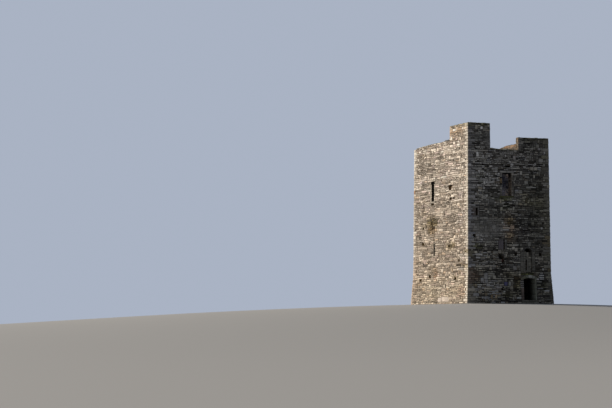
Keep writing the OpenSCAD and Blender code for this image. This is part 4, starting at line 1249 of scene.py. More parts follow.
# The right stones' reveal faces are painted lighter toward the front and darker inward, and the stones behind them
# darker toward the back: painted light and shade in the passage.
for z1 in (0.78, 1.22, 1.70, 2.07):
    c = vary(rng, (0.30, 0.31, 0.255), 0.08)
    brick(trim, front, DOOR[1] - 0.012, 2.43, z, z1, -0.72, 0.03, lambda i, j, k, c=c: dim(c, 0.9 if i > 0.2 else lerp(0.86, 1.18, k)), rng,
          edge=0.02, segs=(2, 2, 4), rough=0.004)
    brick(trim, front, DOOR[1] - 0.010, 2.50, z, z1, -1.43, -0.72, lambda i, j, k, c=c: dim(c, 0.84 * k ** 3), rng, edge=0.02, segs=(1, 2, 4), rough=0.004)
    z = z1


def arc_points(c, half_w, spring, rise, k, n):
    """Two arcs that meet in a blunt point, from the left springing to the right one."""
    d = ((half_w + k) ** 2 - k * k - rise * rise) / (2 * rise)
    r = math.sqrt((half_w + k) ** 2 + d * d)
    out = []
    for i in range(n + 1):
        x = -half_w + 2 * half_w * i / n
        cx = k if x < 0 else -k
        out.append((c + x, spring - d + math.sqrt(max(0.0, r * r - (x - cx) ** 2))))
    return out


def ring_stone(fld, plane, inner, outer, n0, n1, col, rng):
    """A stone of an arch, between points of its inner line and of its outer line."""
    m = len(inner)
    e = 0.02
    rows = []
    for j, (w, n) in enumerate(((0.0, n0), (0.0, n1 - e * 0.7), (0.10, n1), (0.5, n1 + 0.004), (0.9, n1), (1.0, n1 - e * 0.7), (1.0, n0))):
        row = []
        for i in range(m):
            u = lerp(inner[i][0], outer[i][0], w)
            z = lerp(inner[i][1], outer[i][1], w)
            nn = n + (rng.uniform(-0.003, 0.003) if 0 < j < 6 else 0)
            if i in (0, m - 1) and 0 < j < 6:
                nn -= e * 0.5
            row.append(len(fld.v))
            fld.v.append(plane(u, z, nn))
            # The stone's ends and edges are painted darker: partly wear, partly painted shade at the joints.
            fld.c.append(dim(col, 0.6 if (i in (0, m - 1) or j in (0, 6)) else 1.0))
        rows.append(row)
    for a, b in zip(rows, rows[1:]):
        for i in range(m - 1):
            fld.f.append((a[i], a[i + 1], b[i + 1], b[i]))
    fld.f.append(tuple(r[0] for r in rows))
    fld.f.append(tuple(r[-1] for r in reversed(rows)))


# the doorway's shallow head, with its pale stone right of the middle, and the filling over its haunches
DC = (DOOR[0] + DOOR[1]) / 2
inner = arc_points(DC, 0.56, 2.02, 0.13, 0.15, 24)
outer = []
for i, (u, z) in enumerate(inner):
    k = (u - DC) / 0.56
    outer.append((DC + k * 0.79, 2.11 + 0.27 * (1 - abs(k) ** 2.3)))
for i0, i1, c in ((0, 6, (0.17, 0.17, 0.125)), (6, 10, (0.22, 0.225, 0.18)), (10, 17, (0.35, 0.355, 0.325)), (17, 21, (0.29, 0.295, 0.26)), (21, 24, (0.22, 0.225, 0.18))):
    a, b = inner[i0:i1 + 1], outer[i0:i1 + 1]
    a = [(u + (0.004 if j == 0 else -0.004 if j == len(a) - 1 else 0), z) for j, (u, z) in enumerate(a)]
    b = [(u + (0.005 if j == 0 else -0.005 if j == len(b) - 1 else 0), z) for j, (u, z) in enumerate(b)]
    ring_stone(trim, front, a, b, -0.47, 0.03 + rng.uniform(0, 0.012), vary(rng, c, 0.06), rng)
over = Field("stones_over_doorway")


def over_paint(u, z, r):
    c = (0.17, 0.18, 0.075) if z > 2.34 and u < 2.2 else (0.17, 0.155, 0.125)
    return vary(r, c, 0.22)


for z0, z1 in ((2.12, 2.20), (2.20, 2.29), (2.29, 2.38), (2.38, 2.50)):
    zm = (z0 + z1) / 2 + 0.015
    k = min(1.0, max(0.0, 1 - (zm - 2.11) / 0.27)) ** (1 / 2.3) if zm < 2.38 else 0.0
    for a, b in ((0.99, DC - 0.79 * k), (DC + 0.79 * k, 2.61)) if k > 0 else ((0.99, 2.61),):
        if b - a > 0.05:
            lay(over, front, [(z0, z1)], lambda z, a=a: a, lambda z, b=b: b, [], over_paint, rng, size=0.2)

# the blocked window over it: jambs, ring and blocking
BW_C, BW_H, BW_SPRING, BW_TOP = 1.71, 0.38, 4.33, 4.61
BW_R = (BW_H ** 2 + (BW_TOP - BW_SPRING) ** 2) / (2 * (BW_TOP - BW_SPRING))
z = 2.64
for z1, c in ((3.05, (0.17, 0.163, 0.14)), (3.50, (0.185, 0.178, 0.158)), (3.92, (0.17, 0.167, 0.152)), (4.33, (0.13, 0.127, 0.115))):
    brick(trim, front, 0.99, BW_C - BW_H + 0.012, z, z1, -0.165, 0.026, vary(rng, c, 0.05), rng, edge=0.02, segs=(2, 3, 2), rough=0.004)
    z = z1
jambs(front, BW_C - BW_H, BW_C + BW_H, 2.64, 4.33, 0.27, 0.165, (0.185, 0.178, 0.158), rng, sides=(1,), deep=(0.17, 0.165, 0.15))
a0 = math.asin(BW_H / BW_R)
N = 9
for k in range(N):
    aa = [lerp(-a0, a0, (k + s / 3) / N) for s in range(4)]
    gap = 0.006
    pi = [(BW_C + BW_R * math.sin(a), BW_TOP - BW_R + BW_R * math.cos(a)) for a in aa]
    rr = BW_R + 0.17 + rng.uniform(-0.015, 0.01)
    po = [(BW_C + rr * math.sin(a), BW_TOP - BW_R + rr * math.cos(a)) for a in aa]
    pi[0] = (pi[0][0] + gap, pi[0][1]); po[0] = (po[0][0] + gap, po[0][1])
    pi[-1] = (pi[-1][0] - gap, pi[-1][1]); po[-1] = (po[-1][0] - gap, po[-1][1])
    ring_stone(trim, front, pi, po, -0.35, 0.028 * rng.uniform(0.7, 1.2), vary(rng, (0.125, 0.122, 0.115), 0.2), rng)


def haunch(z, s):
    """Where the arch ring's outer line lies at a height, on its left (-1) or right (1)."""
    d = z - (BW_TOP - BW_R)
    return BW_C + s * math.sqrt(max(0.0, (BW_R + 0.175) ** 2 - d * d))


for z0, z1 in [r for r in ROWS if 4.33 - 1e-3 <= r[0] and r[1] <= 4.80 + 1e-3]:
    zm = (z0 + z1) / 2
    lay(over, front, [(z0, z1)], lambda z: 0.99, lambda z, q=haunch(zm, -1): q, [], paint_front, rng, size=0.22)
    lay(over, front, [(z0, z1)], lambda z, q=haunch(zm, 1): q, lambda z: 2.37, [], paint_front, rng, size=0.22)

bl = Field("blocking_stones")
block_plane = lambda u, z, n: (u, -hy(3.5) + 0.17 - n, z)
brow = courses([2.64, 3.69, 4.29], 0.10, random.Random(77))
# The blocking stones, but for the upper right ones, are painted lighter than the wall's stones, to offset the shade of
# their recess: painted light.
lay(bl, block_plane, brow, lambda z: BW_C - BW_H + 0.01, lambda z: BW_C + BW_H - 0.01, [(1.555, 1.82, 2.74, 4.29)],
    lambda u, z, r: vary(r, (0.36, 0.345, 0.30) if u < 1.6 else (0.37, 0.36, 0.315) if z < 3.85 else (0.16, 0.15, 0.13), 0.16), rng, size=0.16, proud=0.02)
z = 2.74
for z1 in (3.12, 3.47, 3.88, 4.29):
    brick(bl, block_plane, 1.674, 1.818, z, z1, -0.1, 0.035, vary(rng, (0.255, 0.248, 0.22), 0.10), rng, segs=(1, 3, 1), edge=0.015)
    z = z1
brick(bl, block_plane, 1.345, 1.60, 4.285, 4.375, -0.14, 0.03, (0.15, 0.145, 0.13), rng, segs=(2, 1, 1))
for a, b in ((3.65, 3.95), (3.95, 4.29)):
    brick(bl, block_plane, 1.56, 1.672, a, b, -0.1, 0.012, vary(rng, (0.30, 0.29, 0.255), 0.1), rng, segs=(1, 2, 1))

# the slot left of it, with a smooth slab to its left
brick(trim, front, -1.04, -0.558, 4.48, 5.22, -0.16, 0.012, (0.165, 0.150, 0.165), rng, edge=0.02, segs=(3, 4, 1), rough=0.004)
brick(trim, front, -0.76, -0.545, 3.42, 3.70, -0.34, -0.13, (0.12, 0.055, 0.05), rng, edge=0.03, segs=(2, 2, 1))
brick(trim, front, -1.04, -0.558, 5.22, 5.31, -0.16, 0.02, (0.20, 0.19, 0.19), rng, edge=0.02, segs=(3, 1, 1))
z = 4.48
for z1 in (4.76, 5.03, 5.31):
    brick(trim, front, -0.445, -0.26, z, z1, -0.3, 0.028, vary(rng, (0.20, 0.196, 0.188), 0.2), rng, segs=(1, 2, 2))
    z = z1

# the small slot by the corner
fr = (0.185, 0.18, 0.175)
brick(trim, front, -3.40, -3.078, 7.25, 7.58, -0.3, 0.03, (0.165, 0.145, 0.14), rng, segs=(2, 2, 2))
brick(trim, front, -3.40, -3.078, 7.58, 7.90, -0.3, 0.034, (0.15, 0.135, 0.13), rng, segs=(2, 2, 2))
brick(trim, front, -2.912, -2.75, 7.25, 7.60, -0.3, 0.035, fr, rng, segs=(1, 2, 2))
brick(trim, front, -2.912, -2.75, 7.60, 7.90, -0.3, 0.03, dim(fr, 0.9), rng, segs=(1, 2, 2))
brick(trim, front, -3.40, -2.75, 7.90, 8.05, -0.3, 0.035, dim(fr, 1.1), rng, segs=(4, 1, 2))
brick(trim, front, -3.40, -2.75, 7.12, 7.25, -0.3, 0.035, (0.22, 0.22, 0.23), rng, segs=(4, 1, 2))

# upper windows of the front and back
for plane, k, side, at in ((front, 1.0, 1, -1), (back, 1.1, -1, 1)):
    u0, u1 = (-0.63, 0.25)
    jambs(plane, u0, u1, 8.93, 10.85, 0.21, 0.16, dim((0.168, 0.16, 0.148), k), rng, sides=(1,), low=0.13, high=0.26, sd=0.3, deep=(0.30, 0.26, 0.22))
    # The left jambs' reveal faces take a dark colour: painted shade.
    for a, b, c in ((8.93, 9.92, (0.20, 0.195, 0.185)), (9.92, 10.48, (0.215, 0.165, 0.105)), (10.48, 10.85, (0.21, 0.205, 0.195))):
        jambs(plane, u0, u1, a, b, 0.21, 0.16, dim(c, k), rng, sides=(0,), low=0.13, high=0.26, sd=0.22, deep=(0.085, 0.085, 0.09))
    # The lintels' undersides are painted near-black: painted shade.
    underside_shade = lambda c: (lambda i, j, kk: (0.035, 0.035, 0.038) if j < 0.01 else c)
    brick(trim, plane, u0 - 0.21, -0.20, 10.85, 11.04, -0.55, 0.03, underside_shade(dim((0.34, 0.337, 0.323), k)), rng, segs=(3, 1, 2), edge=0.025)
    brick(trim, plane, -0.20, u1 + 0.21, 10.85, 11.04, -0.55, 0.036, underside_shade(dim((0.285, 0.282, 0.272), k)), rng, segs=(3, 1, 2), edge=0.025)
    brick(trim, plane, u0 - 0.21, u1 + 0.21, 8.80, 8.93, -0.55, 0.035, dim((0.095, 0.10, 0.045), k), rng, segs=(5, 1, 2))
yo = hy(9.9)
reveals("-x", 0.245, yo - 0.58, yo - 0.17, 8.93, 10.25, (0.275, 0.22, 0.18), rng)      # front window's right reveal
reveals("-x", 0.245, yo - 0.58, yo - 0.17, 10.20, 10.62, (0.20, 0.165, 0.15), rng)
# Its top part is painted near-black: painted shadow under the lintel.
reveals("-x", 0.245, yo - 0.58, yo - 0.17, 10.58, 10.85, (0.022, 0.02, 0.02), rng)
reveals("+x", -0.625, -yo + 0.17, -yo + 0.58, 8.93, 10.85, (0.16, 0.16, 0.165), rng)      # and its left one
reveals("-x", 0.625, -yo + 0.17, -yo + 0.58, 8.93, 10.85, (0.27, 0.25, 0.22), rng)
reveals("+x", -0.245, yo - 0.58, yo - 0.17, 8.93, 10.85, (0.27, 0.25, 0.22), rng)

# loops of the two sides
for plane, uc, col, k in ((left, -LOOP, BUFF_D, 1.0), (right, -LOOP, GREY_D, 1.2)):
    head = 10.27 if plane is left else 10.50
    # The loops' reveal faces and the undersides of their heads take this dark colour: painted shade.
    loop_shade = (0.088, 0.044, 0.014) if plane is left else (0.10, 0.095, 0.09)
    jambs(plane, uc - 0.25, uc + 0.25, 8.80, head, 0.28, 0.34, dim(col, k), rng, low=0.14, high=0.28, deep=loop_shade, back=0.0)
    if plane is left:
        for a, b, f in ((uc - 0.53, uc - 0.39, 1.0), (uc + 0.39, uc + 0.53, 0.0)):
            brick(trim, plane, a, b, 10.27, 10.50, -0.2, 0.03, reveal_dark(vary(rng, col, 0.1), loop_shade, f), rng, segs=(1, 1, 2))
    loop_head_shade = lambda c: (lambda i, j, kk: loop_shade if j < 0.01 else c)
    brick(trim, plane, uc - 0.53, uc + 0.05, 10.50, 10.66, -0.34, 0.036, loop_head_shade(dim(col, 1.05 * k)), rng, segs=(4, 1, 2))
    brick(trim, plane, uc + 0.05, uc + 0.53, 10.50, 10.66, -0.34, 0.030, loop_head_shade(dim(col, 0.92 * k)), rng, segs=(4, 1, 2))
    brick(trim, plane, uc - 0.53, uc + 0.53, 8.67, 8.80, -0.34, 0.03, dim(col, 0.85 * k), rng, segs=(4, 1, 2))

# slits of the first storey and slots of the second
for plane, uc, col, k in ((left, -1.11, (0.42, 0.37, 0.305), 1.0), (right, -1.11, GREY_D, 1.1)):
    for s in (-1, 1):
        z = 4.12
        for z1 in (4.33, 4.62, 4.90, 5.15):
            a, b = (uc - 0.17, uc - 0.09) if s < 0 else (uc + 0.09, uc + 0.17)
            # The slits' reveal faces take a near-black colour: painted shade.
            brick(trim, plane, a, b, z, z1, -0.3, 0.022, reveal_dark(vary(rng, dim(col, k), 0.16), (0.05, 0.045, 0.04), 1.0 if s < 0 else 0.0), rng, segs=(1, 2, 2))
            z = z1
    if plane is left:
        for a, b in ((uc - 0.17, uc - 0.035), (uc + 0.035, uc + 0.17)):
            brick(trim, plane, a, b, 5.15, 5.31, -0.3, 0.03, vary(rng, dim(col, k), 0.1), rng, segs=(1, 1, 2))
        brick(trim, plane, uc - 0.035, uc + 0.035, 5.15, 5.31, -0.3, -0.02, (0.06, 0.05, 0.04), rng, segs=(1, 1, 1))
    else:
        brick(trim, plane, uc - 0.17, uc + 0.17, 5.15, 5.31, -0.3, 0.03, dim(col, k), rng, segs=(2, 1, 2))
    brick(trim, plane, uc - 0.17, uc + 0.17, 4.00, 4.12, -0.3, 0.03, dim(col, 0.9 * k), rng, segs=(2, 1, 2))
for plane, uc, z0, z1, top in ((back, -0.50, 4.48, 5.31, 5.48), (right, 2.2, 7.25, 7.90, 8.05), (back, 1.5, 7.25, 7.90, 8.05)):
    w = 0.06 if z1 < 6 else 0.07
    for a, b in ((z0, lerp(z0, z1, 0.42)), (lerp(z0, z1, 0.42), z1)):
        brick(trim, plane, uc - 0.18, uc - w, a, b, -0.28, 0.03, vary(rng, GREY_D, 0.15), rng, segs=(1, 2, 2))
        brick(trim, plane, uc + w, uc + 0.18, a, b, -0.28, 0.03, vary(rng, GREY_D, 0.15), rng, segs=(1, 2, 2))
    brick(trim, plane, uc - 0.18, uc + 0.18, z1, top, -0.28, 0.035, dim(GREY_D, 1.1), rng, segs=(2, 1, 2))
    brick(trim, plane, uc - 0.18, uc + 0.18, z0 - (0.15 if z1 < 6 else 0.13), z0, -0.28, 0.035, dim(GREY_D, 1.0), rng, segs=(2, 1, 2))

# the straight joint over the left slit
brick(trim, left, -1.14, -1.08, 5.31, 5.75, -0.05, 0.006, (0.10, 0.08, 0.055), rng, segs=(1, 4, 1), edge=0.01)

# the threshold
for a, b, z0, z1 in ((0.99, 1.70, 0.17, 0.30), (1.70, 2.61, 0.17, 0.30), (0.99, 1.38, 0.0, 0.17), (1.38, 2.10, 0.0, 0.17), (2.10, 2.61, 0.0, 0.17)):
    brick(trim, front, a, b, z0, z1, -0.6 if z0 else -0.1, 0.03 * rng.uniform(0.6, 1.2), vary(rng, (0.20, 0.197, 0.165), 0.2), rng, segs=(3, 1, 2))

# ------------------------------------------------------------------ inner faces
inside = Field("stones_inside")
rows3 = courses([FLOOR3, 8.93, 10.85, WALK], 0.17, random.Random(3))


def panel(fld, plane, rows, lo, hi, hol, paint, seed, **kw):
    lay(fld, plane, rows, lambda z: lo, lambda z: hi, hol, paint, random.Random(seed), fine=False, **kw)


panel(inside, facing("+y", -IY[3]), rows3, -2.74, 2.74, [(-0.49, 0.87, 8.93, 10.85), (1.71, 2.74, 10.44, 99)], paint_inner, "i1")
panel(inside, facing("-y", IY[3]), rows3, -2.74, 2.74, [(-0.49, 0.87, 8.93, 10.85)], paint_inner, "i2")
panel(inside, facing("+x", -IX[3]), rows3, -4.36, 4.36, [(0.965, 1.925, 8.80, 10.50), (-4.36, TY, 10.44, 99)], paint_inner, "i3")
# The right inner wall: a broad bluish patch is painted light, standing in for dim skylight, and a darker band near the
# top of the wall is painted shade.
def paint_inner_shaded(u, z, rng):
    c = spots(paint_inner(u, z, rng), value(rng, 0.15), [(-2.2, 10.2, 2.2, 2.2, (0.145, 0.175, 0.30), 1.0)], u, z)
    return dim(c, 1 - 0.92 * min(1.0, 1.4 * weight(-2.2, 11.45, 1.6, 0.42, u, z)))


panel(inside, facing("-x", IX[3]), rows3, -4.36, 4.36, [(0.965, 1.925, 8.80, 10.50)], paint_inner_shaded, "i4")

# parapets' inner faces
WTOP = WALK + 0.08
rowsp = courses([WTOP, 12.76, 13.40, 13.81], 0.14, random.Random(4))
rowst = courses([WTOP, 13.35, 14.87], 0.14, random.Random(9))
pin = Field("stones_parapet_inside")


def under(rows, top, lo, hi, step=0.4):
    """Free places over a broken line, as holes for the stones."""
    out, u = [], lo
    while u < hi - 1e-6:
        e = min(hi, u + step)
        out.append((u, e, min(top(u), top(e)) - 0.01, 99))
        u = e
    return out


panel(pin, facing("+y", -PY), rowsp, -PX, -TX, [(-BX, 1.75, 12.76, 99)], paint_inner, "p1")
panel(pin, facing("-x", PX), rowsp, -PY, PY, under(rowsp, lambda u: line(RIGHT_LINE, -u), -PY, PY), paint_sunny, "p2", size=0.24)
panel(pin, facing("+x", -PX), rowsp, TY, PY, under(rowsp, lambda u: line(LEFT_LINE, u), TY, PY), paint_inner, "p3")
panel(pin, facing("-y", PY), rowsp, -PX, PX, under(rowsp, lambda u: line(BACK_LINE, u), -PX, PX, 0.2), paint_inner, "p4")

# turret, outside and in
tur = Field("stones_turret")
panel(tur, facing("+x", TX), rowst, -PY - 0.38, TY - 0.02, [], paint_grey, "t1")
panel(tur, facing("+y", TY), rowst, -TX, PX, [(2.66, 3.26, 0, 13.35)], paint_grey, "t2")
panel(tur, facing("-x", TX - TIN), rowst, -(TY - TIN), PY, [], paint_inner, "t3")
panel(tur, facing("-y", TY - TIN), rowst, -PX, TX - TIN, [(-3.26, -2.66, 0, 13.35)], paint_inner, "t4")
panel(tur, facing("+x", -PX), rowst, -PY, TY - TIN, [], paint_inner, "t5")
panel(tur, facing("+y", -PY), rowst, -(TX - TIN), PX, [], paint_inner, "t6")

# free upright edges over the parapets: turret's front right, turret's back left, the ends of the raised blocks
ends = Field("stones_free_edges")


def free_edge(c, sx, sy, z0, z1, along, across, colour, rng, end=None):
    """Blocks stacked at an upright edge: c is the edge, sx and sy point into the masonry.
    end is the colour of the face across X; the other faces take the first."""
    z = z0
    flip = rng.random() < 0.5
    while z < z1 - 0.05:
        h = min(rng.uniform(0.13, 0.26), z1 - z)
        if z1 - z - h < 0.1:
            h = z1 - z
        a, b = (along * rng.uniform(0.8, 1.0), across * rng.uniform(0.55, 0.7)) if flip else (along * rng.uniform(0.5, 0.65), across * rng.uniform(0.85, 1.0))
        o = 0.022 * rng.uniform(0.5, 1.2)
        x0, x1 = sorted((c[0](z) - sx * o, c[0](z) + sx * a))
        y0, y1 = sorted((c[1](z) - sy * o, c[1](z) + sy * b))
        col = colour(rng)
        if end:
            other = end(rng)
            face = 0.0 if sx > 0 else 1.0
            put = lambda i, j, k, col=col, other=other: other if abs(i - face) < 0.01 else col
        else:
            put = col
        c8 = [(x, y, w) for w in (z + 0.006, z + h - 0.006) for y in (y0, y1) for x in (x0, x1)]
        block(ends, c8, put, rng, edge=0.02, segs=(2, 2, 1))
        z += h
        flip = not flip


def edge_grey(rng):
    return vary(rng, (0.19, 0.187, 0.18), 0.3)


def edge_olive(rng):
    return vary(rng, (0.14, 0.145, 0.085), 0.25)


def edge_rust(rng):
    return vary(rng, mix((0.27, 0.185, 0.12), (0.33, 0.28, 0.22), rng.random()), 0.16)


def edge_brown(rng):
    return vary(rng, mix((0.46, 0.31, 0.19), (0.50, 0.42, 0.32), rng.random()), 0.16)


rng = random.Random("edges")
free_edge((lambda z: TX, lambda z: -hy(z)), -1, 1, LOW + 0.0, TUR, 0.5, 0.42, edge_grey, rng)
free_edge((lambda z: -hx(z), lambda z: TY), 1, -1, SIDE, TUR, 0.42, 0.6, edge_brown, rng)
free_edge((lambda z: BX, lambda z: -hy(z)), 1, 1, LOW - 0.08, BLOCK, 0.5, 0.24, edge_grey, rng, end=edge_rust)
free_edge((lambda z: BX, lambda z: -PY), 1, -1, LOW - 0.08, BLOCK, 0.45, 0.19, edge_rust, rng)
free_edge((lambda z: TX, lambda z: TY), -1, -1, WTOP, TUR - 0.08, 0.5, 0.45, edge_grey, rng)
for s in (-1, 1):
    free_edge((lambda z, s=s: s * 1.25, lambda z: hy(z)), s, -1, LOW + 0.0, (SIDE - 0.11 if s < 0 else SIDE - 0.24), 0.5, 0.24, edge_grey, rng)
    free_edge((lambda z, s=s: s * 1.25, lambda z: PY), s, 1, LOW + 0.0, (SIDE - 0.11 if s < 0 else SIDE - 0.24), 0.45, 0.19, edge_grey, rng)

# ------------------------------------------------------------------ the broken tops
tops = Field("stones_wall_tops")


def cap_run(p, q, into, thick, top, colour, rng, sink=0.06, jag=0.018, out=0.024, drop=0.012, skip=None):
    """Bedded stones on top of a wall from p to q. into points across the wall, from its outer face."""
    p, q, into = Vector((*p, 0)), Vector((*q, 0)), Vector((*into, 0)).normalized()
    d = (q - p).normalized()
    length = (q - p).length
    s = 0.0
    while s < length - 0.04:
        w = rng.uniform(0.16, 0.42)
        if length - s - w < 0.14:
            w = length - s
        mid = p + d * (s + w / 2)
        if skip and skip(mid.x, mid.y):
            s += w
            continue
        cut = rng.uniform(0.35, 0.65) if rng.random() < 0.8 else None
        for a, b in ([(0, 1)] if cut is None else [(0, cut), (cut, 1)]):
            jx = rng.uniform(-0.02, 0.02)
            t0 = a * thick - (out * rng.uniform(0.2, 1.1) if a == 0 else -0.005)
            t1 = b * thick + (out * rng.uniform(0.0, 0.8) if b == 1 else -0.005)
            s0, s1 = s + 0.006 + (jx if a else 0), s + w - 0.006 + (jx if a else 0)
            h = rng.uniform(-drop, jag)
            tilt = rng.uniform(-0.008, 0.008)
            c8 = []
            for lev in (0, 1):
                for tt in (t0, t1):
                    for ss in (s0, s1):
                        pt = p + d * ss + into * tt
                        zt = top(pt.x, pt.y)
                        z = zt - sink if lev == 0 else zt + h + 0.012 + tilt * (1 if ss == s0 else -1) + rng.uniform(-0.004, 0.004)
                        c8.append((pt.x, pt.y, z))
            # keep the corner order right-handed
            if d.cross(into).z < 0:
                c8 = [c8[1], c8[0], c8[3], c8[2], c8[5], c8[4], c8[7], c8[6]]
            block(tops, c8, colour(pt.x, pt.y, rng), rng, edge=0.022, rough=0.007, segs=(2, 2, 1), worn=1.3)
        s += w


rng = random.Random("tops")
ht, hb, hs, hr = hx(TUR), hx(BLOCK), hx(SIDE), hx(RSIDE)
cap_run((-ht, -hy(TUR)), (TX, -hy(TUR)), (0, 1), PAR_T - 0.06, lambda x, y: TUR, paint_tops, rng)
cap_run((-ht, TY), (-ht, -hy(TUR) + 0.4), (1, 0), PAR_T - 0.06, lambda x, y: TUR, paint_tops, rng)
cap_run((TX, -hy(TUR) + 0.4), (TX, TY), (-1, 0), TIN, lambda x, y: TUR - 0.08, paint_tops, rng)
cap_run((TX - TIN, TY), (-PX, TY), (0, -1), TIN, lambda x, y: TUR - 0.08, paint_tops, rng)
cap_run((TX + 0.02, -hy(LOW)), (BX - 0.01, -hy(LOW)), (0, 1), PAR_T - 0.02, lambda x, y: line(LOW_LINE, x), paint_tops, rng, jag=0.03)
cap_run((BX, -hy(BLOCK)), (hb, -hy(BLOCK)), (0, 1), PAR_T - 0.03, lambda x, y: BLOCK, paint_tops, rng)
cap_run((hr, -PY), (hr, PY), (-1, 0), PAR_T - 0.03, lambda x, y: line(RIGHT_LINE, y) + 0.055, paint_rust, rng, sink=0.12)
cap_run((-hs, PY), (-hs, TY), (1, 0), PAR_T - 0.03, lambda x, y: line(LEFT_LINE, y), paint_tops, rng, jag=0.03, skip=lambda x, y: y < -0.88)
cap_run((hs, hy(SIDE)), (1.25, hy(SIDE)), (0, -1), PAR_T - 0.03, lambda x, y: line(BACK_LINE, x), paint_tops, rng)
cap_run((1.24, hy(LOW)), (-1.24, hy(LOW)), (0, -1), PAR_T - 0.02, lambda x, y: line(BACK_LINE, x), paint_tops, rng)
cap_run((-1.25, hy(SIDE)), (-hs, hy(SIDE)), (0, -1), PAR_T - 0.03, lambda x, y: line(BACK_LINE, x), paint_tops, rng)

# ------------------------------------------------------------------ wall walk's flagstones and the top floor's boards
walk = Field("walk_flagstones")


def paint_flag(u, z, rng):
    v = value(rng, 0.22)
    c = (0.26, 0.25, 0.215) if rng.random() < 0.7 else (0.22, 0.215, 0.16)
    return tuple(x * v for x in c)


def flag_run(x0, x1, y0, y1, seed):
    rng = random.Random(seed)
    along_x = (x1 - x0) > (y1 - y0)
    length = (x1 - x0) if along_x else (y1 - y0)
    s = 0.0
    while s < length - 0.05:
        w = rng.uniform(0.35, 0.75)
        if length - s - w < 0.25:
            w = length - s
        if along_x:
            q = [(x0 + s + .008, y0 + .008), (x0 + s + w - .008, y0 + .008), (x0 + s + w - .008, y1 - .008), (x0 + s + .008, y1 - .008)]
        else:
            q = [(x0 + .008, y0 + s + .008), (x1 - .008, y0 + s + .008), (x1 - .008, y0 + s + w - .008), (x0 + .008, y0 + s + w - .008)]
        stone(walk, lambda u, v, n: (u, v, WTOP + n), q, paint_flag(0, 0, rng), rng, proud=0.012, edge=0.03)
        s += w


flag_run(TX + 0.01, PX - 0.01, -PY + 0.01, -IY[3], "a")
flag_run(-PX + 0.01, PX - 0.01, IY[3], PY - 0.01, "b")
flag_run(-PX + 0.01, -IX[3], TY + 0.01, IY[3] - 0.01, "c")
flag_run(IX[3], PX - 0.01, -IY[3] + 0.01, IY[3] - 0.01, "d")
for x0 in (-PX + 0.01, -2.67):
    flag_run(x0, x0 + 0.63, -PY + 0.01, TY - TIN - 0.01, "e%s" % x0)

boards = Field("top_floor_boards")
rng = random.Random("boards")
x = -IX[3] + 0.012
while x < IX[3] - 0.05:
    w = rng.uniform(0.17, 0.26)
    if IX[3] - 0.012 - (x + w) < 0.12:
        w = IX[3] - 0.012 - x
    y = -IY[3] + 0.012
    cuts = sorted([rng.choice([-3.54, -2.36, -1.18, 0, 1.18, 2.36]) + rng.uniform(-0.01, 0.01)])
    for y1 in cuts + [IY[3] - 0.012]:
        v = value(rng, 0.18)
        z0, z1 = 8.492, 8.537 + rng.uniform(-0.004, 0.004)
        c8 = [(a, b, c) for c in (z0, z1) for b in (y + 0.003, y1 - 0.003) for a in (x + 0.003, x + w - 0.003)]
        block(boards, c8, (v, v * rng.uniform(0.95, 1.02), v * rng.uniform(0.9, 1.0)), rng, edge=0.008, rough=0.002, segs=(1, 6, 1))
        y = y1
    x += w

# the dark slab by the turret, split and worn
slab = Field("slab_by_turret")
rng = random.Random("slab")
block(slab, [(a, b, c) for c in (13.745, 13.785) for b in (TY + 0.03, TY + 0.97) for a in (-3.80, -3.31)],
      (1, 1, 1), rng, edge=0.015, rough=0.006, segs=(3, 6, 1), worn=1.4)
block(slab, [(a, b, c) for c in (13.788, 13.845) for b in (TY + 0.02, TY + 0.86) for a in (-3.79, -3.33)],
      (0.8, 0.8, 0.8), rng, edge=0.02, rough=0.008, segs=(3, 6, 1), worn=1.6)



def head(x, y):
    """How high the wall reaches at a place on its outer half."""
    if y > PY:
        return line(BACK_LINE, math.copysign(max(abs(x), 1.252), x) if abs(x) > 1.21 else x)
    if x < -PX:
        return TUR if y < TY + 0.03 else line(LEFT_LINE, y)
    if x > PX:
        return BLOCK if y < -PY + 0.02 else line(RIGHT_LINE, y)
    return TUR if x < TX + 0.03 else BLOCK if x > BX - 0.03 else line(LOW_LINE, x)


for fld in list(corner.values()) + list(skins.values()):
    fld.v = [(x, y, min(z, head(x, y) - 0.004)) for x, y, z in fld.v]

rng = random.Random("steps")
for x0, x1 in ((-hx(13.5) - 0.022, -3.55), (-3.54, -PX + 0.012)):
    block(ends, [(x, y, z) for z in (13.43, 13.606) for y in (PY - 0.13, PY + rng.uniform(0.016, 0.03)) for x in (x0, x1)],
          paint_grey(0, 12, rng), rng, edge=0.02, segs=(2, 1, 1))
for x0, x1 in ((PX - 0.012, 3.5), (3.51, hx(13.5) + 0.022)):
    block(ends, [(x, y, z) for z in (13.38, 13.468) for y in (PY - 0.13, PY + rng.uniform(0.016, 0.03)) for x in (x0, x1)],
          paint_grey(0, 12, rng), rng, edge=0.02, segs=(2, 1, 1))

block(ends, [(x, y, z) for z in (13.42, 13.575) for y in (PY + 0.035, hy(13.5) + 0.024) for x in (-hx(13.5) - 0.024, -3.40)],
      vary(rng, (0.60, 0.55, 0.47), 0.08), rng, edge=0.03, segs=(2, 2, 1), worn=1.3)

mossy(tops, -0.02)
mossy(walk, -0.05, 1.3)

# ------------------------------------------------------------------ earth and moss inside the small holes of the sunny side
for cu, cz, w, h in RECESS["left"]:
    c = (0.46, 0.31, 0.12) if cz < 9 else (0.34, 0.21, 0.10)
    deep = -0.23
    brick(trim, left, cu - w / 2 - 0.01, cu - w / 2 + 0.035, cz - h / 2 - 0.008, cz + h / 2 + 0.008, deep, -0.02, vary(rng, c, 0.12), rng, edge=0.012, segs=(1, 1, 2))
    brick(trim, left, cu - w / 2, cu + w / 2, cz - h / 2 - 0.008, cz + h / 2 + 0.008, deep - 0.03, deep + 0.03, vary(rng, c, 0.12), rng, edge=0.02, segs=(2, 1, 1))

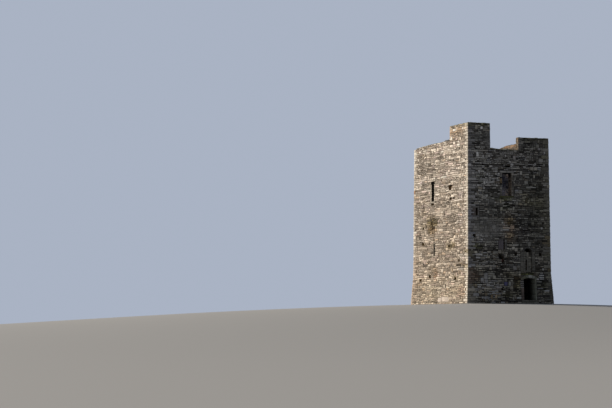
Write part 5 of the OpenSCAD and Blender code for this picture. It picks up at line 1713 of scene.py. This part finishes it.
# ------------------------------------------------------------------ make the pieces
for k, fld in corner.items():
    fld.make(rubble)
for f, fld in skins.items():
    fld.make(rubble)
trim.make(dressed)
over.make(rubble)
bl.make(rubble)
inside.make(rubble)
pin.make(rubble)
tur.make(rubble)
ends.make(rubble)
tops.make(rubble)
walk.make(flags)
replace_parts(boards.make(board_wood, 30), "third_floor_boards")
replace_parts(slab.make(slate, 30), "coping_slab")

# ------------------------------------------------------------------ stage: a plain pale floor that falls away from the walls, soft light, camera
me = bpy.data.meshes.new("ground")
N, R = 96, [0.0, 0.5, 1, 2, 3, 4, 6, 8, 10, 13, 16, 20, 25, 30, 36, 44, 54, 66, 80, 110, 150, 220, 320, 450, 700, 1000]
verts, faces = [], []


def fall(d):
    return -3.9 * (1 - math.exp(-(0.02 * d + 0.0012 * d * d) / 3.9))


for d in R:
    for i in range(N):
        a = 2 * math.pi * i / N
        ca, sa = math.cos(a), math.sin(a)
        k = 1 / max(abs(ca) / 4.0, abs(sa) / 5.65)
        r = k * 0.985
        t = min(1.0, d / 20)
        rr = lerp(r, 5.0, t) + d
        verts.append((rr * ca, rr * sa, fall(d) - 0.004))
for j in range(len(R) - 1):
    for i in range(N):
        a, b = j * N + i, j * N + (i + 1) % N
        faces.append((a, a + N, b + N, b))
faces.append(tuple(range(N)))
me.from_pydata(verts, [], faces)
for p in me.polygons:
    p.use_smooth = True
ground = bpy.data.objects.new("ground", me)
bpy.context.scene.collection.objects.link(ground)
gm, t, bsdf = nodes_of("pale_floor")
bsdf.inputs["Base Color"].default_value = (0.56, 0.555, 0.54, 1)
bsdf.inputs["Roughness"].default_value = 0.95
bsdf.inputs["Specular IOR Level"].default_value = 0.1
me.materials.append(gm)

world = bpy.data.worlds.new("soft_sky")
bpy.context.scene.world = world
world.use_nodes = True
wt = world.node_tree
bg = wt.nodes["Background"]
bg.inputs["Color"].default_value = (0.62, 0.68, 0.80, 1)
bg.inputs["Strength"].default_value = 0.23
seen = wt.nodes.new("ShaderNodeBackground")
seen.inputs["Color"].default_value = (0.40, 0.45, 0.55, 1)
seen.inputs["Strength"].default_value = 1.0
lp = wt.nodes.new("ShaderNodeLightPath")
mx = wt.nodes.new("ShaderNodeMixShader")
wt.links.new(lp.outputs["Is Camera Ray"], mx.inputs[0])
wt.links.new(bg.outputs[0], mx.inputs[1])
wt.links.new(seen.outputs[0], mx.inputs[2])
wt.links.new(mx.outputs[0], wt.nodes["World Output"].inputs["Surface"])

sun = bpy.data.lights.new("key", "SUN")
sun.energy, sun.angle, sun.color = 5.75, math.radians(20), (1.0, 0.91, 0.79)
so = bpy.data.objects.new("key", sun)
az, el = math.radians(55), math.radians(12.5)   # from -X, turned to +Y
to_sun = Vector((-math.cos(az) * math.cos(el), math.sin(az) * math.cos(el), math.sin(el)))
so.rotation_mode = "QUATERNION"
so.rotation_quaternion = to_sun.to_track_quat("Z", "Y")
bpy.context.scene.collection.objects.link(so)

cam = bpy.data.cameras.new("camera")
co = bpy.data.objects.new("camera", cam)
psi, th = 0.3665, 0.0639
fwd = Vector((math.sin(psi) * math.cos(th), math.cos(psi) * math.cos(th), math.sin(th)))
rt = Vector((math.cos(psi), -math.sin(psi), 0))
up = rt.cross(fwd)
co.matrix_world = Matrix(((rt.x, up.x, -fwd.x, -72.806), (rt.y, up.y, -fwd.y, -148.006), (rt.z, up.z, -fwd.z, -1.921), (0, 0, 0, 1)))
cam.sensor_width, cam.lens = 36.0, 36.0 * 1919.98 / 612
cam.clip_start, cam.clip_end = 1.0, 3000.0
bpy.context.scene.collection.objects.link(co)
bpy.context.scene.camera = co

sc = bpy.context.scene
sc.view_settings.view_transform = "Standard"
sc.view_settings.look = "None"
sc.view_settings.exposure = 0.0
